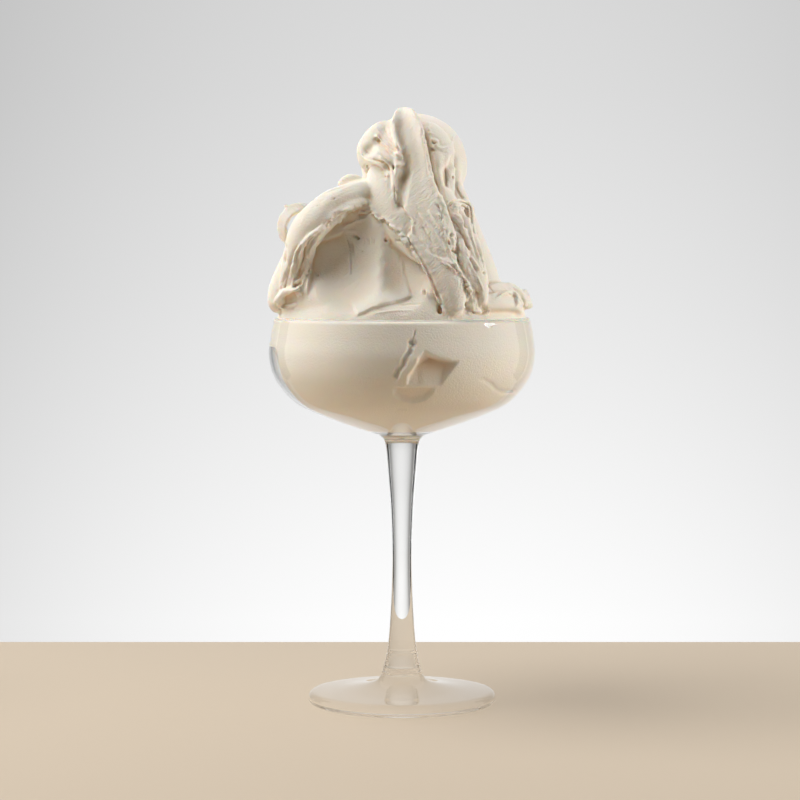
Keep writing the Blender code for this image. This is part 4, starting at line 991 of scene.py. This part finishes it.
def pocketDepth(u, v, pocket):
    # depth of a pocket at each point of the front, from the nearest of its edges
    corners = np.array(pocket["corners"], float)
    depth = np.full(len(u), pocket["depth"])
    v = v + pocket["sag"] * np.clip(1 - ((u - 15.5) / 7) ** 2, 0, 1)
    for start, end, steep in zip(corners, np.roll(corners, -1, 0), pocket["steepness"]):
        way = (end - start) / np.linalg.norm(end - start)
        inside = way[1] * (u - start[0]) - way[0] * (v - start[1])
        depth = np.minimum(depth, np.maximum(inside, 0) * steep)
    return depth


def makeFill():
    f = fillSize
    depth = glassSize["wall"] - f["intoWall"]
    wall = np.array(innerOutline(depth, 60))[::-1]
    lengths = np.concatenate([[0], np.cumsum(np.linalg.norm(np.diff(wall, axis=0), axis=1))])
    # few rings near the axis, many up the wall
    at = np.linspace(0, 1, f["rings"]) ** 0.8 * lengths[-1]
    outline = np.stack([np.interp(at, lengths, wall[:, 0]), np.interp(at, lengths, wall[:, 1])], 1)
    outline = outline[outline[:, 1] < f["top"] - 0.7]
    top = [(outline[-1, 0] - 0.25, f["top"] - 0.25), (outline[-1, 0] - 0.9, f["top"]), (0, f["top"] + 0.2)]
    bm = turned([(0, outline[0, 1])] + [tuple(p) for p in outline if p[0] > 0.5] + top, f["segments"])
    front = math.radians(f["frontAngle"])
    for vert in bm.verts:
        angle = math.atan2(vert.co.y, vert.co.x)
        turn = -f["crowding"] * math.sin(angle - front)
        vert.co = Matrix.Rotation(turn, 3, "Z") @ vert.co
    bm.normal_update()
    fill = objectFrom("gelatoFill", bm)
    points, normals = readPoints(fill.data)
    radius = np.hypot(points[:, 0], points[:, 1])
    walled = (radius > 8) & (points[:, 2] < f["top"] - 0.5)
    u, v, mask, sideways = frontView(points, normals)
    mask = walled & (points[:, 1] < 0)
    sunk = np.where(mask, np.maximum(pocketDepth(u, v, leafPocket), pocketDepth(u, v, lobePocket)), 0)
    # painted light and shade: a warm painted bounce light low in the bowl, and painted shade in the air
    # pocket
    warm = f["paintedBounceLow"] * (1 - smoothStep(112, 140, points[:, 2])) + f["paintedPocketShade"] * np.clip(sunk / 5, 0, 1)
    # the gap of air at the left
    angle = np.degrees(np.arctan2(points[:, 1], points[:, 0])) % 360
    g = leftGap
    gap = smoothStep(g["from"], g["from"] + 9, angle) * (1 - smoothStep(g["to"] - 9, g["to"], angle))
    gap *= smoothStep(g["low"], g["low"] + 3, points[:, 2])
    gap *= 1 - smoothStep(g["high"] - 7, g["high"], points[:, 2])
    sunk += np.where(walled, gap * g["depth"], 0)
    points -= normals * sunk[:, None]
    drawStrokes(points, normals, fillStrokes, (u, v, mask, sideways), seed=40)
    # nothing reaches through the glass wall
    limit = wallRadius(points[:, 2], glassSize["wall"]) + f["mostIntoWall"]
    scale = np.minimum(1, limit / np.maximum(np.hypot(points[:, 0], points[:, 1]), 1e-6))
    points[:, :2] *= np.where(walled, scale, 1)[:, None]
    writePoints(fill.data, points)
    # the painted bounce light and painted shade, for the material
    layer = fill.data.attributes.new("paintedShadeAndBounce", "FLOAT", "POINT")
    layer.data.foreach_set("value", warm.astype(np.float32))
    return fill


fill = makeFill()
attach(fill, "root")
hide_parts("gelato")
print("gelato in the bowl made")

# The glass: foot, stem and bowl turned in one piece
glass = objectFrom("coupeGlass", turned(outerOutline() + innerOutline(glassSize["wall"]), glassSize["sides"]))
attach(glass, "root")
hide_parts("glass")
print("glass blown")


# Materials

def addNode(nodes, kind, inputs=(), **settings):
    node = nodes.new("ShaderNode" + kind)
    for name, value in settings.items():
        setattr(node, name, value)
    for socket, value in dict(inputs).items():
        node.inputs[socket].default_value = value
    return node


def join(links, pairs):
    for source, output, target, socket in pairs:
        links.new(source.outputs[output], target.inputs[socket])


def newMaterial(name):
    made = bpy.data.materials.new(name)
    made.use_nodes = True
    nodes = made.node_tree.nodes
    return made, nodes, made.node_tree.links, nodes["Principled BSDF"]


gelatoLook = {
    "cream": (0.87, 0.815, 0.715, 1),
    # painted shade and bounce light: the warm brown that crevices, the air pocket and the low bowl take
    "paintedShadeAndBounce": (0.78, 0.55, 0.33, 1),
    "roughness": 0.55,
    "scatter": 0.0006,
    "radius": (1.0, 0.62, 0.36),
    "patches": 90,
    "patchTone": 0.955,      # the darker patches, as a share of the cream
    "pores": 1500,
    "threads": 1500,
    "grainAngle": 45,
    "grainLength": 5,
    "relief": 0.00022,
}


def makeGelatoMaterial():
    made, nodes, links, shader = newMaterial("gelatoCream")
    look = gelatoLook
    shader.inputs["Roughness"].default_value = look["roughness"]
    shader.inputs["Subsurface Weight"].default_value = 0.8
    shader.inputs["Subsurface Radius"].default_value = look["radius"]
    shader.inputs["Subsurface Scale"].default_value = look["scatter"]
    shader.inputs["IOR"].default_value = 1.38
    where = addNode(nodes, "TexCoord")
    paintedShadeAndBounce = addNode(nodes, "Attribute", attribute_name="paintedShadeAndBounce")
    grain = addNode(nodes, "Attribute", attribute_name="grain")
    patches = addNode(nodes, "TexNoise", {"Scale": look["patches"], "Detail": 3})
    tint = addNode(nodes, "Mix", data_type="RGBA")
    tint.inputs["A"].default_value = look["cream"]
    tint.inputs["B"].default_value = tuple(look["patchTone"] * c for c in look["cream"][:3]) + (1,)
    # painted shade: crevices and the air pocket turn warm brown, and the low bowl takes a painted bounce
    # light
    deep = addNode(nodes, "Mix", data_type="RGBA")
    deep.inputs["B"].default_value = look["paintedShadeAndBounce"]
    # fine pores over all, and the spatula's cross grain on the long stroke
    pores = addNode(nodes, "TexNoise", {"Scale": look["pores"], "Detail": 3})
    turn = addNode(nodes, "Mapping", vector_type="TEXTURE")
    turn.inputs["Rotation"].default_value = (0, math.radians(look["grainAngle"]), 0)
    turn.inputs["Scale"].default_value = (1, 1, look["grainLength"])
    threads = addNode(nodes, "TexNoise", {"Scale": look["threads"], "Detail": 2})
    weight = addNode(nodes, "Math", operation="MULTIPLY")
    height = addNode(nodes, "Math", operation="ADD")
    bump = addNode(nodes, "Bump", {"Strength": 1, "Distance": look["relief"]})
    join(links, [
        (where, "Object", patches, "Vector"), (patches, "Fac", tint, "Factor"), (tint, "Result", deep, "A"),
        (paintedShadeAndBounce, "Fac", deep, "Factor"), (deep, "Result", shader, "Base Color"),
        (where, "Object", pores, "Vector"), (where, "Object", turn, "Vector"),
        (turn, "Vector", threads, "Vector"), (threads, "Fac", weight, 0), (grain, "Fac", weight, 1),
        (pores, "Fac", height, 0), (weight, "Value", height, 1), (height, "Value", bump, "Height"),
        (bump, "Normal", shader, "Normal"),
    ])
    return made


def makeGlassMaterial():
    made, nodes, links, shader = newMaterial("clearGlass")
    shader.inputs["Base Color"].default_value = (0.985, 0.99, 0.985, 1)
    shader.inputs["Roughness"].default_value = 0
    shader.inputs["IOR"].default_value = 1.5
    shader.inputs["Transmission Weight"].default_value = 1
    # shadow rays and bounced light pass, so that both reach what is in the bowl
    path = addNode(nodes, "LightPath")
    clear = addNode(nodes, "BsdfTransparent", {"Color": (0.97, 0.97, 0.97, 1)})
    surface = shader.outputs["BSDF"]
    for ray in ("Is Diffuse Ray", "Is Shadow Ray"):
        mix = addNode(nodes, "MixShader")
        links.new(path.outputs[ray], mix.inputs["Fac"])
        links.new(surface, mix.inputs[1])
        links.new(clear.outputs["BSDF"], mix.inputs[2])
        surface = mix.outputs["Shader"]
    links.new(surface, nodes["Material Output"].inputs["Surface"])
    return made


gelatoMaterial = makeGelatoMaterial()
for piece in (heap, fill):
    piece.data.materials.clear()
    piece.data.materials.append(gelatoMaterial)
glass.data.materials.append(makeGlassMaterial())
print("materials set")

# The stage: a pale table top, a bright backdrop, and dark cards that only the glass sees
stageSize = {
    "tableHalfWidth": 0.9,
    "tableFront": -1.2,
    "tableBack": 0.157,
    "tableThickness": 0.03,
    "tableLift": 0.0001,                       # brings its top into contact with the foot
    "tableColour": (0.56, 0.465, 0.355, 1),
    "tableRoughness": 0.6,
    "backdropLow": -0.6,
    "backdropHigh": 0.9,
    "backdropAt": 1.25,
    "backdropHalfWidth": 1.1,
    "cardDistance": 1.3,
    "cardHalfWidth": 0.2,
    "cardAngle": 52,
}


def staged(name, bm):
    # a piece of the stage with a material of its own
    mesh = bpy.data.meshes.new(name)
    bm.to_mesh(mesh)
    bm.free()
    thing = bpy.data.objects.new(name, mesh)
    scene.collection.objects.link(thing)
    made, nodes, links, shader = newMaterial(name)
    mesh.materials.append(made)
    return thing, nodes, links, shader


def makeTable():
    s = stageSize
    bm = bmesh.new()
    bmesh.ops.create_cube(bm, size=1)
    bmesh.ops.scale(bm, vec=(2 * s["tableHalfWidth"], s["tableBack"] - s["tableFront"], s["tableThickness"]),
                    verts=bm.verts)
    middle = (0, (s["tableBack"] + s["tableFront"]) / 2, s["tableLift"] - s["tableThickness"] / 2)
    bmesh.ops.translate(bm, vec=middle, verts=bm.verts)
    bmesh.ops.bevel(bm, geom=bm.edges[:], offset=0.001, affect="EDGES", segments=2, profile=0.5, material=-1)
    table, nodes, links, shader = staged("paleFloor", bm)
    shader.inputs["Base Color"].default_value = s["tableColour"]
    shader.inputs["Roughness"].default_value = s["tableRoughness"]


def makeCard(name, width, low, high, middle, turn, colour, strength):
    # an upright glowing or dark card that faces the object
    bm = bmesh.new()
    bmesh.ops.create_grid(bm, x_segments=1, y_segments=1, size=0.5)
    bmesh.ops.scale(bm, vec=(width, high - low, 1), verts=bm.verts)
    bmesh.ops.rotate(bm, cent=(0, 0, 0), matrix=Matrix.Rotation(math.radians(90), 3, "X"), verts=bm.verts)
    bmesh.ops.rotate(bm, cent=(0, 0, 0), matrix=Matrix.Rotation(turn, 3, "Z"), verts=bm.verts)
    bmesh.ops.translate(bm, vec=(middle[0], middle[1], (low + high) / 2), verts=bm.verts)
    card, nodes, links, shader = staged(name, bm)
    nodes.remove(shader)
    glow = addNode(nodes, "Emission", {"Strength": strength, "Color": colour})
    links.new(glow.outputs["Emission"], nodes["Material Output"].inputs["Surface"])
    return card, nodes, links, glow


# painted light: how bright the glowing backdrop shows at each height of it, in metres, and how that light
# falls off to the sides
backdropGlow = [(-0.20, 1.04), (-0.13, 0.99), (-0.02, 0.92), (0.1, 0.84), (0.22, 0.775), (0.33, 0.725),
                (0.5, 0.66)]
backdropFall = {"middle": 0.06, "perSquareMetre": 1.1, "least": 0.3}


def makeBackdrop():
    s = stageSize
    low, high = backdropGlow[0][0], backdropGlow[-1][0]
    card, nodes, links, glow = makeCard(
        "backdrop", 2 * s["backdropHalfWidth"], s["backdropLow"], s["backdropHigh"], (0, s["backdropAt"]), 0,
        (1, 1, 1, 1), 1,
    )
    where = addNode(nodes, "TexCoord")
    split = addNode(nodes, "SeparateXYZ")
    along = addNode(nodes, "MapRange", {"From Min": low, "From Max": high})
    ramp = addNode(nodes, "ValToRGB")
    ramp.color_ramp.interpolation = "B_SPLINE"
    stops = ramp.color_ramp.elements
    while len(stops) < len(backdropGlow):
        stops.new(0.5)
    for stop, (z, bright) in zip(stops, backdropGlow):
        stop.position = (z - low) / (high - low)
        stop.color = (bright, bright, bright, 1)
    join(links, [
        (where, "Object", split, "Vector"), (split, "Z", along, "Value"), (along, "Result", ramp, "Fac"),
        (ramp, "Color", glow, "Color"),
    ])
    steps = [("SUBTRACT", backdropFall["middle"]), ("POWER", 2),
             ("MULTIPLY_ADD", -backdropFall["perSquareMetre"]), ("MAXIMUM", backdropFall["least"])]
    value = split.outputs["X"]
    for operation, number in steps:
        step = addNode(nodes, "Math", {1: number, 2: 1}, operation=operation)
        links.new(value, step.inputs[0])
        value = step.outputs["Value"]
    links.new(value, glow.inputs["Strength"])


def makeStage():
    s = stageSize
    makeTable()
    makeBackdrop()
    for side in (-1, 1):
        angle = math.radians(s["cardAngle"]) * side
        middle = (math.sin(angle) * s["cardDistance"], math.cos(angle) * s["cardDistance"])
        name = "darkCardLeft" if side < 0 else "darkCardRight"
        card, *rest = makeCard(name, 2 * s["cardHalfWidth"], -0.4, 1.0, middle, -angle, (0, 0, 0, 1), 0)
        card.visible_camera = False
        card.visible_diffuse = False
        card.visible_shadow = False


makeStage()
print("stage set")

# Soft light from both sides and from high on the left
lightPlan = {
    "keyLeft": {"at": (-1.062, 0.037, 0.455), "size": (0.5, 0.7), "power": 5, "aim": (0, 0, 0.17)},
    "highLeft": {"at": (-0.643, -0.068, 1.06), "size": (1.0, 1.0), "power": 14, "aim": (0, 0, 0.17)},
    "sideRight": {"at": (1.057, -0.111, 0.455), "size": (0.5, 0.7), "power": 10.5, "aim": (0, 0, 0.17)},
}
for name, plan in lightPlan.items():
    data = bpy.data.lights.new(name, "AREA")
    data.shape = "RECTANGLE"
    data.size, data.size_y = plan["size"]
    data.energy = plan["power"]
    lamp = bpy.data.objects.new(name, data)
    scene.collection.objects.link(lamp)
    lamp.location = plan["at"]
    lamp.rotation_euler = (Vector(plan["aim"]) - Vector(plan["at"])).to_track_quat("-Z", "Y").to_euler()
    lamp.visible_camera = False
    lamp.visible_glossy = False

# The room: pale where it is looked at, dimmer as a light
room = {"seen": 0.78, "lit": 0.06}
world = bpy.data.worlds.new("studio")
scene.world = world
world.use_nodes = True
nodes, links = world.node_tree.nodes, world.node_tree.links
path = addNode(nodes, "LightPath")
look = addNode(nodes, "Math", operation="MAXIMUM")
either = addNode(nodes, "Math", operation="MAXIMUM")
shade = addNode(nodes, "Mix", data_type="RGBA")
shade.inputs["A"].default_value = (room["lit"],) * 3 + (1,)
shade.inputs["B"].default_value = (room["seen"],) * 3 + (1,)
join(links, [
    (path, "Is Camera Ray", look, 0), (path, "Is Transmission Ray", look, 1), (look, "Value", either, 0),
    (path, "Is Glossy Ray", either, 1), (either, "Value", shade, "Factor"),
    (shade, "Result", nodes["Background"], "Color"),
])
scene.view_settings.view_transform = "Standard"
scene.cycles.caustics_refractive = False
scene.cycles.caustics_reflective = False

# The camera of the photograph
cameraPlan = {"at": (-0.00078, -0.9627, 0.1704), "down": 3.049, "lens": 110.92, "sensor": 36}
cameraData = bpy.data.cameras.new("camera")
cameraData.sensor_width = cameraPlan["sensor"]
cameraData.lens = cameraPlan["lens"]
camera = bpy.data.objects.new("camera", cameraData)
scene.collection.objects.link(camera)
camera.location = cameraPlan["at"]
camera.rotation_euler = (math.radians(90 - cameraPlan["down"]), 0, 0)
scene.camera = camera
